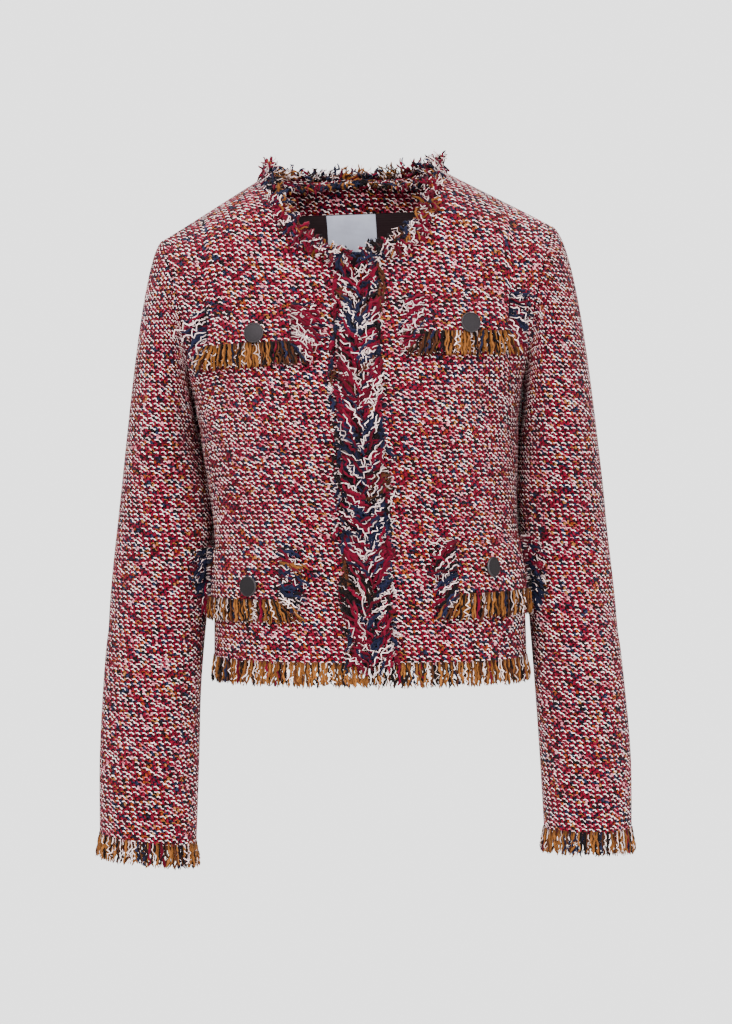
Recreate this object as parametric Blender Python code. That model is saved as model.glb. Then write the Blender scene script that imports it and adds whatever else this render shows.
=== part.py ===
"""Cropped tweed jacket with frayed edges, filled out as it is worn.

Run it with: blender --background --python part.py

Frame: metres, +Z up. The front faces -Y and the wearer's left is +X. The origin is the middle of
the neck opening, level with the two points where the shoulder seams meet the neckline.

The body of the jacket lies on one form. At each height its section is a rounded oval, as wide and
as deep as LEVELS says, and near the shoulder line its depth shrinks to nothing along a quarter
ellipse. Every panel is a grid of points on that form, and its wall is the grid extruded inwards.
"""

import math
from collections import namedtuple

import bmesh
import bpy
import numpy as np
from mathutils import Matrix, Vector

# ---------------------------------------------------------------- driving dimensions, in metres
GAP = 0.0003  # between neighbouring pieces
TWEED = 0.0024  # cloth of the panels and sleeves
FLAP_CLOTH = 0.0030  # a flap is tweed on a thin backing
LINING_CLOTH = 0.0010
FACING_CLOTH = 0.0018
LABEL_CLOTH = 0.0010
FRAY_LOFT = 0.0042  # a frayed edge lying on a panel stands this proud
FRAY_WALL = 0.0036  # a frayed edge that hangs free is this thick

NECK_HALF = 0.085  # from the middle to the neck end of a shoulder seam
SHOULDER_HALF = 0.194  # from the middle to its outer end
SHOULDER_SLOPE = math.radians(29.5)
SHOULDER_DROP = 0.055  # height over which the shoulder rounds over
LEAN = 0.037  # the left shoulder is higher: rise for each metre across
LEAN_FADE = 0.084  # height over which the lean grows from nothing at the hem
SIDE_POWER = 2.4  # squareness of the oval section, across
DEPTH_POWER = 2.2  # squareness of the oval section, front to back

FRONT_EDGE = 0.0010  # from the middle to a front's edge, closed
FRAY_REACH = 0.024  # width of the fraying on each front edge
HEM_FRAY = 0.027  # length of the frayed hem
CUFF_FRAY = 0.026
HEM_FLARE = 0.004  # the frayed hem and cuffs spread by this much
SLEEVE_EASE = 0.0007  # the sleeve starts this far outside the armhole

NECK_LAP = 0.010  # how far the neck fraying lies on the cloth
NECK_RISE = 0.018  # how far it stands above the edge
NECK_EDGE = 0.001  # how far inside the edge it turns up
NECK_LOFT = 0.0048
NECK_CLEAR = 0.0022  # its distance from the panels under it, whose facets are not its own
NECK_STAND = (-0.072, -0.012)  # it starts to stand up at this height, and stands fully at this
NECK_LEAN = 0.25  # share by which the standing part leans in
NECK_TUCK = 0.2  # share by which its wall is turned off the cloth

BUTTON_RADIUS = 0.0100
BUTTON_THICKNESS = 0.0026
SHANK_RADIUS = 0.0034
SHANK_HEIGHT = 0.0036
BUTTON_SIDES = 16

# Sections of the body from the hem up. The oval's centre moves sideways, because the wearer's
# hips are to the left of the neck.
Level = namedtuple("Level", "name z half_width front back centre_x")
LEVELS = (
    Level("hem", -0.484, 0.1560, 0.110, 0.104, 0.0175),
    Level("hip", -0.430, 0.1550, 0.108, 0.099, 0.0165),
    Level("waist", -0.350, 0.1515, 0.107, 0.090, 0.0125),
    Level("ribs", -0.295, 0.1555, 0.115, 0.093, 0.0090),
    Level("bust", -0.250, 0.1605, 0.122, 0.101, 0.0060),
    Level("armpit", -0.222, 0.1640, 0.120, 0.107, 0.0050),
    Level("chest", -0.165, 0.1870, 0.106, 0.114, 0.0050),
    Level("collarbone", -0.110, 0.2060, 0.091, 0.111, 0.0048),
    Level("shoulder", -0.055, 0.2190, 0.080, 0.094, 0.0042),
    Level("neck", 0.000, 0.2250, 0.074, 0.080, 0.0000),
    Level("top", 0.030, 0.2260, 0.072, 0.072, 0.0000),
)

# Rows of both body panels up to the chest, at one height each. Above the armpit the outer end of
# a row is on the armhole, and below it on the side seam.
LevelRow = namedtuple("LevelRow", "z armhole_x")
LEVEL_ROWS = (
    LevelRow(-0.484, None),
    LevelRow(-0.465, None),
    LevelRow(-0.445, None),
    LevelRow(-0.4235, None),
    LevelRow(-0.398, None),
    LevelRow(-0.373, None),
    LevelRow(-0.335, None),
    LevelRow(-0.295, None),
    LevelRow(-0.255, None),
    LevelRow(-0.222, None),
    LevelRow(-0.198, 0.1665),
    LevelRow(-0.174, 0.1690),
    LevelRow(-0.152, 0.1725),
    LevelRow(-0.1305, 0.1760),
)
ARMPIT_ROW = 9

# Rows from the chest to the shoulder seam. Both ends are given by their distance from the middle
# and by how far they lie under the shoulder line; the inner ends run up the neckline.
YokeRow = namedtuple("YokeRow", "neck_x neck_under armhole_x armhole_under")
FRONT_YOKE = (
    YokeRow(0.001, 0.1515, 0.1790, 0.0655),
    YokeRow(0.003, 0.1324, 0.1820, 0.0500),
    YokeRow(0.030, 0.1121, 0.1850, 0.0360),
    YokeRow(0.050, 0.0888, 0.1880, 0.0240),
    YokeRow(0.0635, 0.0642, 0.1905, 0.0140),
    YokeRow(0.0725, 0.0391, 0.1925, 0.0065),
    YokeRow(0.080, 0.0163, 0.1936, 0.0020),
    YokeRow(NECK_HALF, 0.0, SHOULDER_HALF, 0.0),
)
BACK_YOKE = (
    YokeRow(0.000, 0.1260, 0.1775, 0.0655),
    YokeRow(0.000, 0.0831, 0.1800, 0.0500),
    YokeRow(0.000, 0.0511, 0.1840, 0.0360),
    YokeRow(0.030, 0.0341, 0.1875, 0.0240),
    YokeRow(0.052, 0.0212, 0.1905, 0.0140),
    YokeRow(0.069, 0.0106, 0.1925, 0.0065),
    YokeRow(0.080, 0.0033, 0.1936, 0.0020),
    YokeRow(NECK_HALF, 0.0, SHOULDER_HALF, 0.0),
)
PIT_ROW = len(LEVEL_ROWS) + 1  # the front row whose inner end is the pit of the neck
NAPE_ROW = len(LEVEL_ROWS) + 2  # the back row whose inner end is the middle of the back neckline
FRONT_FRAY_TOP = PIT_ROW - 0.80  # the fraying of a front's edge ends here

# Columns of a front. The first three lie at fixed distances from its edge, under the fraying,
# and the others at these shares of the way round from there to the side seam or armhole.
FRINGE_COLUMNS = (0.0, 0.5, 1.0)
FRONT_SHARES = (0.08, 0.16, 0.23, 0.32, 0.43, 0.54, 0.65, 0.75, 0.83, 0.90, 0.96, 1.0)
BACK_SHARES = (0.0, 0.14, 0.29, 0.45, 0.61, 0.76, 0.89, 1.0)
FLAP_GAP = 0.0010  # between a flap and its panel, whose facets don't all match
FLAP_LIFT = 0.0016  # a flap's lower edge stands this far off the cloth
FLAP_FRAY_LOFT = 0.0006  # its fraying stands this proud of it
ROW_GAP = GAP / 0.022  # the gap, as a share of a row and of a column
COLUMN_GAP = GAP / 0.012

# Flaps, in places between the rows and columns of a front: the foot of the fraying, the cloth's
# lower and upper edge, then the fraying's inner end, the cloth's two ends and its outer end.
Flap = namedtuple("Flap", "foot low high fray_in inner outer fray_out")
FLAPS = {
    "chest_right": Flap(10.00, 11.05, 12.67, 2.70, 4.10, 9.90, 12.60),
    "chest_left": Flap(10.20, 11.25, 12.88, 2.70, 4.10, 9.90, 12.60),
    "waist_right": Flap(1.90, 3.08, 5.06, 3.45, 5.30, 13.00, 13.35),
    "waist_left": Flap(1.90, 3.08, 5.06, 3.45, 5.30, 13.00, 13.20),
}

# How far each front's edge falls open at the pit of the neck.
FALL_OPEN = {"right": 0.008, "left": 0.003}
FALL_SHARES = (1 / 6, 1.0)  # at the row below the pit and at the pit
SIDES = {"right": -1, "left": 1}

# Rings of the sleeves below the armhole: centre, half width across, half depth, and how much
# higher the ring's outer end is than its inner one.
Ring = namedtuple("Ring", "z centre_x centre_y half_width half_depth tilt")
SLEEVE_RINGS = {
    "right": (
        Ring(-0.280, -0.1896, 0.016, 0.0390, 0.0600, 0.000),
        Ring(-0.315, -0.1879, 0.020, 0.0447, 0.0580, 0.000),
        Ring(-0.355, -0.1884, 0.021, 0.0487, 0.0550, 0.001),
        Ring(-0.400, -0.1916, 0.018, 0.0500, 0.0515, 0.002),
        Ring(-0.450, -0.1961, 0.009, 0.0490, 0.0485, 0.003),
        Ring(-0.510, -0.2003, -0.001, 0.0488, 0.0460, 0.004),
        Ring(-0.580, -0.2025, -0.010, 0.0495, 0.0435, 0.006),
        Ring(-0.664, -0.2035, -0.017, 0.0480, 0.0415, 0.010),
    ),
    "left": (
        Ring(-0.280, 0.2066, 0.016, 0.0405, 0.0600, 0.000),
        Ring(-0.315, 0.2077, 0.020, 0.0438, 0.0580, 0.000),
        Ring(-0.355, 0.2110, 0.023, 0.0445, 0.0530, 0.000),
        Ring(-0.400, 0.2171, 0.021, 0.0435, 0.0500, 0.000),
        Ring(-0.450, 0.2214, 0.013, 0.0441, 0.0480, 0.000),
        Ring(-0.510, 0.2263, -0.001, 0.0448, 0.0460, 0.001),
        Ring(-0.580, 0.2313, -0.010, 0.0453, 0.0435, 0.001),
        Ring(-0.654, 0.2335, -0.017, 0.0435, 0.0415, 0.000),
    ),
}
CAP_STEPS = (0.07, 0.20, 0.40, 0.66)  # rings of the sleeve head between armhole and tube
CAP_REACH = {"right": 0.018, "left": 0.025}  # how far its head runs out before it turns down
UNDERARM_REACH = 0.003  # and how far its underarm does, falling UNDERARM_FALL for each metre out
UNDERARM_FALL = 0.6
CAP_DROP = 0.085  # handle of the curve where the head meets the tube, at the top
UNDERARM_DROP = 0.012  # and at the underarm
SLEEVE_GIRTH = 0.30
RING_POWER = 2.25

# The largest folds, as soft troughs in a panel or sleeve: the middle of the trough, its half
# length and half breadth, the angle of its run from the vertical, and its depth. A trough in a
# sleeve is placed by the share of the way round from the inner side and by its height.
Fold = namedtuple("Fold", "piece at z half_length half_breadth lean depth")
FOLDS = (
    Fold("front", 0.128, -0.225, 0.060, 0.013, 24, 0.0030),
    Fold("front", 0.100, -0.318, 0.050, 0.016, -16, 0.0020),
    Fold("back", 0.120, -0.235, 0.070, 0.014, 20, 0.0034),
    Fold("back", 0.060, -0.340, 0.060, 0.018, -12, 0.0022),
    Fold("sleeve", 0.075, -0.270, 0.060, 0.012, 22, 0.0034),
    Fold("sleeve", 0.080, -0.395, 0.045, 0.011, -35, 0.0026),
    Fold("sleeve", 0.175, -0.330, 0.055, 0.012, 30, 0.0022),
)

# Buttons: which flap, the place on it as shares across and up, and how far it has turned on its
# shank, about the vertical.
Button = namedtuple("Button", "flap across up turn")
BUTTONS = (
    Button("chest_right", 0.42, 0.295, 0),
    Button("chest_left", 0.507, 0.25, 0),
    Button("waist_right", 0.234, 0.30, 0),
    Button("waist_left", 0.265, 0.50, 15),
)

# The layers inside the neck, in rows and columns of the back. The facing's lower edge is the row
# under the nape, and the lining shows from there down.
FACING_COLUMNS = (0, 1, 2)
LINING_COLUMNS = (0, 1, 2, 3, 4)
LINING_ROWS = 3
LABEL_ROWS = 0.85
SEAM_SHARE = GAP / 0.030  # the gap, as a share of a row that is about 30 mm high

COLOURS = {
    "tweed": ((0.30, 0.055, 0.075, 1.0), 0.85, 0.0),
    "warp_fray": ((0.33, 0.15, 0.05, 1.0), 0.90, 0.0),
    "weft_fray": ((0.22, 0.02, 0.035, 1.0), 0.90, 0.0),
    "lining": ((0.045, 0.008, 0.012, 1.0), 0.45, 0.0),
    "label": ((0.62, 0.63, 0.68, 1.0), 0.60, 0.0),
    "gunmetal": ((0.055, 0.050, 0.050, 1.0), 0.38, 0.85),
}


# ---------------------------------------------------------------- the form the body lies on
def smooth_curve(knots, values, at):
    """A cubic curve through the knots, each slope taken from the neighbours."""
    knots = np.asarray(knots, float)
    values = np.asarray(values, float)
    slopes = np.gradient(values, knots)
    i = np.clip(np.searchsorted(knots, at) - 1, 0, len(knots) - 2)
    span = knots[i + 1] - knots[i]
    t = np.clip((at - knots[i]) / span, 0.0, 1.0)
    rise = (1 + 2 * t) * (1 - t) ** 2 * values[i] + t * t * (3 - 2 * t) * values[i + 1]
    return rise + span * t * (1 - t) * ((1 - t) * slopes[i] - t * slopes[i + 1])


def level_value(column, z):
    """One column of LEVELS at height z."""
    return smooth_curve([lv.z for lv in LEVELS], [getattr(lv, column) for lv in LEVELS], z)


def shoulder_line(x):
    """Height of the shoulder line at a distance x from the middle."""
    return (NECK_HALF - x) * math.tan(SHOULDER_SLOPE)


def rounding(under):
    """Share of the full depth that the form has this far under the shoulder line."""
    share = np.clip(under / SHOULDER_DROP, 0.0, 1.0)
    return np.sqrt(1 - (1 - share) ** 2)


def angle_of(x, z):
    """The angle round the oval at which its half width is x."""
    share = np.clip(x / level_value("half_width", z), 0.0, 1.0)
    return np.arcsin(share ** (SIDE_POWER / 2))


def on_form(x, z, depth_column):
    """Distance of the form's surface from the plane of the side seams."""
    cosine = np.cos(angle_of(x, z)) ** (2 / DEPTH_POWER)
    return level_value(depth_column, z) * cosine * rounding(shoulder_line(x) - z)


def lean(points):
    """How much higher a point is because the shoulders aren't level."""
    return LEAN * points[..., 0] * np.clip((points[..., 2] - LEVELS[0].z) / LEAN_FADE, 0.0, 1.0)


def level_row(row, columns, x_in, depth_column):
    """Points of a row at one height, from x_in to the side seam or the armhole."""
    half_width = level_value("half_width", row.z)
    start = angle_of(x_in + FRAY_REACH if columns[0] else x_in, row.z)
    end = angle_of(row.armhole_x, row.z) if row.armhole_x else math.pi / 2
    angles = start + (end - start) * np.array(columns[1])
    x = half_width * np.sin(angles) ** (2 / SIDE_POWER)
    x = np.concatenate([x_in + FRAY_REACH * np.array(columns[0]), x])
    y = on_form(x, row.z, depth_column)
    if not row.armhole_x:
        y[-1] = 0.0
    return np.stack([x, y, np.full_like(x, row.z)], axis=1)


def yoke_row(row, columns, x_in, depth_column):
    """Points of a row that runs from the neckline to the armhole under the shoulder line."""
    fixed = x_in + FRAY_REACH * np.array(columns[0])
    start = fixed[-1] if len(fixed) else x_in
    x = np.concatenate([fixed, start + (row.armhole_x - start) * np.array(columns[1])])
    share = (x - x_in) / (row.armhole_x - x_in)
    under = row.neck_under + (row.armhole_under - row.neck_under) * share
    z = shoulder_line(x) - under
    return np.stack([x, on_form(x, z, depth_column), z], axis=1)


def grid_normals(points, closed=False):
    """Unit normals of a grid of points: the cross product of its two directions."""
    if closed:
        across = np.roll(points, -1, axis=1) - np.roll(points, 1, axis=1)
    else:
        across = np.gradient(points, axis=1)
    along = np.gradient(points, axis=0)
    normals = np.cross(across, along)
    return normals / np.linalg.norm(normals, axis=2, keepdims=True)


def unit(vectors):
    return vectors / np.linalg.norm(vectors, axis=-1, keepdims=True)


def trough(fold, run, height):
    """Depth of a fold at places run across and at a height: a bell across, a taper along."""
    lean = math.radians(fold.lean)
    across = (run - fold.at) * math.cos(lean) - (height - fold.z) * math.sin(lean)
    along = (run - fold.at) * math.sin(lean) + (height - fold.z) * math.cos(lean)
    bell = np.exp(-((across / fold.half_breadth) ** 2))
    taper = np.clip(1 - (along / fold.half_length) ** 2, 0.0, 1.0) ** 2
    return fold.depth * bell * taper


class Panel:
    """A body panel's outer surface: a grid of points on the form, and their normals."""

    def __init__(self, kind, side):
        self.kind = kind
        sign = SIDES[side]
        columns = (FRINGE_COLUMNS, FRONT_SHARES) if kind == "front" else ((), BACK_SHARES)
        yoke = FRONT_YOKE if kind == "front" else BACK_YOKE
        rows = []
        for row in LEVEL_ROWS:
            x_in = FRONT_EDGE if kind == "front" else 0.0
            rows.append(level_row(row, columns, x_in, kind))
        for number, row in enumerate(yoke):
            fall = 0.0
            if kind == "front" and number < 2:
                fall = FALL_OPEN[side] * FALL_SHARES[number]
            rows.append(yoke_row(row, columns if number < 2 else self.spread(columns),
                                 row.neck_x + fall, kind))
        self.points = np.array(rows)
        forward = -1.0 if kind == "front" else 1.0
        x, y, z = (self.points[:, :, k].copy() for k in range(3))
        self.points[:, :, 0] = sign * x + level_value("centre_x", z)
        self.points[:, :, 1] = forward * (y + GAP / 2)
        self.points[:, :, 2] += lean(self.points)
        self.normals = grid_normals(self.points) * (sign * -forward)
        self.square_up_seams()
        for fold in FOLDS:
            if fold.piece == kind:
                self.points -= self.normals * trough(fold, x, z)[:, :, None]

    @staticmethod
    def spread(columns):
        """Above the pit of the neck the fringe columns are spread evenly with the others."""
        if not columns[0]:
            return columns
        step = FRONT_SHARES[0]
        return (), tuple(np.linspace(0.0, step, 4)[:3]) + FRONT_SHARES

    def square_up_seams(self):
        """At a seam both panels take the same normal, so that their edges are parallel."""
        for edge in (np.s_[:ARMPIT_ROW + 1, -1], np.s_[-1, :]):
            self.normals[edge][..., 1] = 0.0
        self.normals = unit(self.normals)

    def at(self, row, column):
        """Point and normal at fractional places in the grid, straight between its points."""
        found = []
        for values in (self.points, self.normals):
            i = int(min(row, len(values) - 2))
            j = int(min(column, len(values[0]) - 2))
            a, b = row - i, column - j
            low = values[i][j] * (1 - b) + values[i][j + 1] * b
            high = values[i + 1][j] * (1 - b) + values[i + 1][j + 1] * b
            found.append(low * (1 - a) + high * a)
        return found[0], unit(found[1])

    def sheet(self, rows, columns, offset):
        """Points of the grid at these rows and columns, moved out by offset(row, column)."""
        points, normals = [], []
        for row in rows:
            pairs = [self.at(row, column) for column in columns]
            normals.append([n for _, n in pairs])
            points.append([p + n * offset(row) for p, n in pairs])
        return np.array(points), np.array(normals)


# ---------------------------------------------------------------- making solids
def material(name):
    """The material of that name, made the first time it is asked for."""
    if name in bpy.data.materials:
        return bpy.data.materials[name]
    colour, roughness, metallic = COLOURS[name]
    made = bpy.data.materials.new(name)
    made.use_nodes = True
    shader = made.node_tree.nodes["Principled BSDF"]
    shader.inputs["Base Color"].default_value = colour
    shader.inputs["Roughness"].default_value = roughness
    shader.inputs["Metallic"].default_value = metallic
    return made


def new_object(name, bm, finish):
    """A named object from a bmesh, with its faces pointing out and its round parts smooth."""
    bmesh.ops.recalc_face_normals(bm, faces=bm.faces)
    mesh = bpy.data.meshes.new(name)
    bm.to_mesh(mesh)
    bm.free()
    mesh.shade_smooth()
    mesh.set_sharp_from_angle(angle=math.radians(50))
    mesh.materials.append(material(finish))
    made = bpy.data.objects.new(name, mesh)
    bpy.context.scene.collection.objects.link(made)
    return made


def thicken(bm, inward):
    """Extrude every face, each new point by the vector that inward gives for its place."""
    grown = bmesh.ops.extrude_face_region(bm, geom=bm.faces[:], use_keep_orig=True)
    for new in (g for g in grown["geom"] if isinstance(g, bmesh.types.BMVert)):
        new.co += inward[new.co.copy().freeze()]


def wall(name, points, normals, thickness, finish, closed=False, left_out=()):
    """A wall as thick as cloth: a sheet of quads on the points, extruded against the normals.

    closed joins the last column to the first. left_out lists cells, as (row, column), with no
    face, for a sheet that is not a rectangle.
    """
    rows, columns = len(points), len(points[0])
    bm = bmesh.new()
    verts = [[bm.verts.new(p) for p in row] for row in points]
    thickness = np.broadcast_to(thickness, (rows, columns))
    inward = {}
    for i in range(rows):
        for j in range(columns):
            inward[verts[i][j]] = Vector(-normals[i][j] * thickness[i][j])
    for i in range(rows - 1):
        for j in range(columns if closed else columns - 1):
            if (i, j) not in left_out:
                k = (j + 1) % columns
                bm.faces.new((verts[i][j], verts[i][k], verts[i + 1][k], verts[i + 1][j]))
    bmesh.ops.delete(bm, geom=[v for v in bm.verts if not v.link_faces], context="VERTS")
    thicken(bm, {v.co.copy().freeze(): inward[v] for v in bm.verts})
    return new_object(name, bm, finish)


def body_panels():
    """Two fronts and a back, whose two halves share the middle column."""
    fronts = {side: Panel("front", side) for side in SIDES}
    halves = {side: Panel("back", side) for side in SIDES}
    middle = np.s_[:NAPE_ROW + 1, 0]
    shared = unit(halves["right"].normals[middle] + halves["left"].normals[middle])
    for half in halves.values():
        half.normals[middle] = shared
    for side, front in fronts.items():
        wall(f"front_{side}", front.points, front.normals, TWEED, "tweed")
    rows = range(len(LEVEL_ROWS) + len(BACK_YOKE))
    back_layer("back", halves, rows, range(len(BACK_SHARES)), 0.0, TWEED, "tweed")
    return fronts, halves


def back_layer(name, halves, rows, columns, inset, thickness, finish):
    """A layer of the back: one sheet up to the nape, and above it one on each side of the neck.

    The rows and columns are places in the grid of a half back, column 0 being the middle. The
    layer lies this far in from the back's outer face.
    """
    bm = bmesh.new()
    low = [row for row in rows if row <= NAPE_ROW]
    high = [row for row in rows if row >= NAPE_ROW]
    inward = {}
    for half in halves.values():
        for part in (low, high):
            if len(part) < 2:
                continue
            points, normals = half.sheet(part, columns, lambda row: -inset)
            verts = [[bm.verts.new(p) for p in row] for row in points]
            for row, turned in zip(verts, normals):
                for vert, normal in zip(row, turned):
                    inward[vert.co.copy().freeze()] = Vector(-normal * thickness)
            for below, above in zip(verts, verts[1:]):
                for j in range(len(below) - 1):
                    bm.faces.new((below[j], below[j + 1], above[j + 1], above[j]))
    bmesh.ops.remove_doubles(bm, verts=bm.verts, dist=0.00001)
    bmesh.ops.recalc_face_normals(bm, faces=bm.faces)
    thicken(bm, inward)
    new_object(name, bm, finish)


# ---------------------------------------------------------------- sleeves
def oval(ring, angles, side):
    """A sleeve ring: angle 0 is its inner side, towards the body, and 90 degrees its front."""
    sign = SIDES[side]
    c, s = np.cos(angles), np.sin(angles)
    across = -np.sign(c) * np.abs(c) ** (2 / RING_POWER)
    deep = -np.sign(s) * np.abs(s) ** (2 / RING_POWER)
    x = ring.centre_x + sign * ring.half_width * across
    y = ring.centre_y + ring.half_depth * deep
    z = ring.z + ring.tilt * (0.5 * across)
    return np.stack([x, y, z], axis=-1)


def sleeve_surface(side, front, back):
    """Grid of a sleeve's outer surface, armhole first, and its normals.

    The first ring is the armhole, from the underarm up the front and down the back. From each of
    its points the cloth runs on outwards and then turns down into the tube, on a cubic curve.
    """
    sign = SIDES[side]
    up = front.points[ARMPIT_ROW:, -1]
    down = back.points[ARMPIT_ROW + 1:-1, -1][::-1]
    armhole = np.concatenate([up, down])
    armhole[0, 1] = 0.0
    armhole[len(up) - 1, 1] = 0.0
    armhole = armhole + [sign * SLEEVE_EASE, 0, 0]
    angles = np.concatenate([np.linspace(0, math.pi, len(up)),
                             np.linspace(math.pi, 2 * math.pi, len(down) + 2)[1:-1]])
    rings = SLEEVE_RINGS[side]
    first = oval(rings[0], angles, side)
    topness = ((1 - np.cos(angles)) / 2)[:, None]
    slope = np.array([sign * math.cos(SHOULDER_SLOPE), 0, -math.sin(SHOULDER_SLOPE)])
    reach = UNDERARM_REACH + (CAP_REACH[side] - UNDERARM_REACH) * topness
    start = armhole + reach * (slope * topness + np.array([sign, 0, -UNDERARM_FALL]) * (1 - topness))
    drop = UNDERARM_DROP + (CAP_DROP - UNDERARM_DROP) * topness
    lead = unit(oval(rings[1], angles, side) - first)
    end = first - lead * drop
    grid = [armhole]
    for t in CAP_STEPS:
        grid.append((1 - t) ** 3 * armhole + 3 * (1 - t) ** 2 * t * start
                    + 3 * (1 - t) * t * t * end + t ** 3 * first)
    grid += [oval(ring, angles, side) for ring in rings]
    grid = np.array(grid)
    normals = grid_normals(grid, closed=True) * -sign
    normals[0, :, 0] = 0.0
    normals = unit(normals)
    round_share = np.broadcast_to(angles / (2 * math.pi), grid.shape[:2])
    for fold in FOLDS:
        if fold.piece == "sleeve":
            place = fold._replace(at=fold.at * SLEEVE_GIRTH)
            depth = trough(place, round_share * SLEEVE_GIRTH, grid[:, :, 2])
            depth[:2] = 0.0
            grid = grid - normals * depth[:, :, None]
    return grid, normals


def sleeves(fronts, backs):
    """Both sleeves, and the frayed edge that hangs from each."""
    for side in SIDES:
        grid, normals = sleeve_surface(side, fronts[side], backs[side])
        wall(f"sleeve_{side}", grid, normals, TWEED, "tweed", closed=True)
        frayed_end(f"cuff_fringe_{side}", grid[-1], normals[-1], CUFF_FRAY, closed=True)


def frayed_end(name, edge, normals, length, closed=False):
    """A frayed edge hanging from a row of points, spreading a little as it falls."""
    level = unit(normals * [1, 1, 0])
    out = (FRAY_WALL - TWEED) / 2
    rows = [edge + level * out - [0, 0, GAP], edge + level * (out + HEM_FLARE) - [0, 0, length]]
    wall(name, np.array(rows), np.array([level] * 2), FRAY_WALL, "warp_fray", closed=closed)


# ---------------------------------------------------------------- frayed edges of the body
def hem_fringes(fronts, backs):
    """The frayed hem, in three lengths that belong to the fronts and the back."""
    edges = {f"hem_fringe_{side}": (front.points[0], front.normals[0])
             for side, front in fronts.items()}
    right, left = backs["right"], backs["left"]
    edges["hem_fringe_back"] = (np.concatenate([right.points[0, :0:-1], left.points[0]]),
                                np.concatenate([right.normals[0, :0:-1], left.normals[0]]))
    for name, (edge, normals) in edges.items():
        frayed_end(name, edge, normals, HEM_FRAY)


def front_fringes(fronts):
    """A frayed band down each front's edge, lying on the panel."""
    rows = [0.0, *range(1, PIT_ROW), FRONT_FRAY_TOP]
    for side, front in fronts.items():
        points, normals = front.sheet(rows, (0, 1, 2), lambda row: GAP + FRAY_LOFT)
        wall(f"front_fringe_{side}", points, normals, FRAY_LOFT, "weft_fray")


def neckline(fronts, backs):
    """Points round the neckline from the right front over the back to the left front.

    Gives the points, the normals there, and the direction across the edge, off the cloth.
    """
    found = []
    for panel, rows in ((fronts["right"], range(PIT_ROW, len(fronts["right"].points))),
                        (backs["right"], range(len(backs["right"].points) - 2, NAPE_ROW - 1, -1)),
                        (backs["left"], range(NAPE_ROW + 1, len(backs["left"].points))),
                        (fronts["left"], range(len(fronts["left"].points) - 2, PIT_ROW - 1, -1))):
        found += [(panel.points[i, 0], panel.normals[i, 0]) for i in rows]
    points, normals = (np.array(x) for x in zip(*found))
    tangents = unit(np.gradient(points, axis=0))
    across = unit(np.cross(normals, tangents))
    centre = np.array([0.0, 0.0, 0.0])
    across *= np.sign(np.sum(across * (centre - points), axis=1))[:, None]
    return points, normals, across


def neck_fringe(points, normals, across):
    """The frayed band round the neckline: it lies on the cloth and then stands up."""
    standing = unit(across * NECK_LEAN + [0, 0, 1])
    low, high = NECK_STAND
    height = np.clip((points[:, 2] - low) / (high - low), 0.0, 1.0)[:, None]
    rise = unit(across * (1 - height) + standing * height)
    base = points + normals * (NECK_CLEAR + NECK_LOFT)
    turned = base + across * NECK_EDGE
    rows = [base - across * NECK_LAP, turned, turned + rise * NECK_RISE * 0.5,
            turned + rise * NECK_RISE]
    inward = unit(normals - across * NECK_TUCK)
    wall("neck_fringe", np.array(rows), np.array([normals, inward, inward, inward]),
         NECK_LOFT, "warp_fray")


# ---------------------------------------------------------------- flaps and buttons
def flap_offset(flap):
    """Distance of a flap's outer face from the panel, more towards its lower edge."""
    height = flap.high - flap.low
    return lambda row: FLAP_GAP + FLAP_CLOTH + FLAP_LIFT * min(1.0, (flap.high - row) / height)


def places_between(low, high):
    """Both ends and the panel's own lines between them, so that a flap bends as its panel does."""
    return [low, *range(math.ceil(low + 0.02), math.ceil(high - 0.02)), high]


def pocket_flaps(fronts):
    """Four flaps, each with its fraying on three sides."""
    for name, flap in FLAPS.items():
        front = fronts[name.split("_")[1]]
        offset = flap_offset(flap)
        rows = places_between(flap.low, flap.high)
        columns = places_between(flap.inner, flap.outer)
        points, normals = front.sheet(rows, columns, offset)
        wall(f"flap_{name}", points, normals, FLAP_CLOTH, "tweed")

        skirt = places_between(flap.foot, flap.low - ROW_GAP)
        inner = places_between(flap.fray_in, flap.inner - COLUMN_GAP)
        outer = places_between(flap.outer + COLUMN_GAP, flap.fray_out)
        rows = skirt + rows[1:]
        middle = columns[1:-1]
        columns = inner + middle + outer
        points, normals = front.sheet(rows, columns, lambda row: offset(row) + FLAP_FRAY_LOFT)
        hole = {(i, j) for i in range(len(skirt) - 1, len(rows) - 1)
                for j in range(len(inner) - 1, len(inner) + len(middle))}
        wall(f"flap_fringe_{name}", points, normals, FLAP_CLOTH + FLAP_FRAY_LOFT,
             "warp_fray", left_out=hole)


def button_profile():
    """Half outline of a button and its shank, from the axis up and round to the axis."""
    r, foot, top = BUTTON_RADIUS, SHANK_HEIGHT, SHANK_HEIGHT + BUTTON_THICKNESS
    return [(0.0, 0.0), (SHANK_RADIUS, 0.0), (SHANK_RADIUS, foot), (r * 0.94, foot),
            (r, foot + BUTTON_THICKNESS * 0.45), (r * 0.93, top - 0.0004),
            (r * 0.55, top), (0.0, top + 0.0002)]


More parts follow.
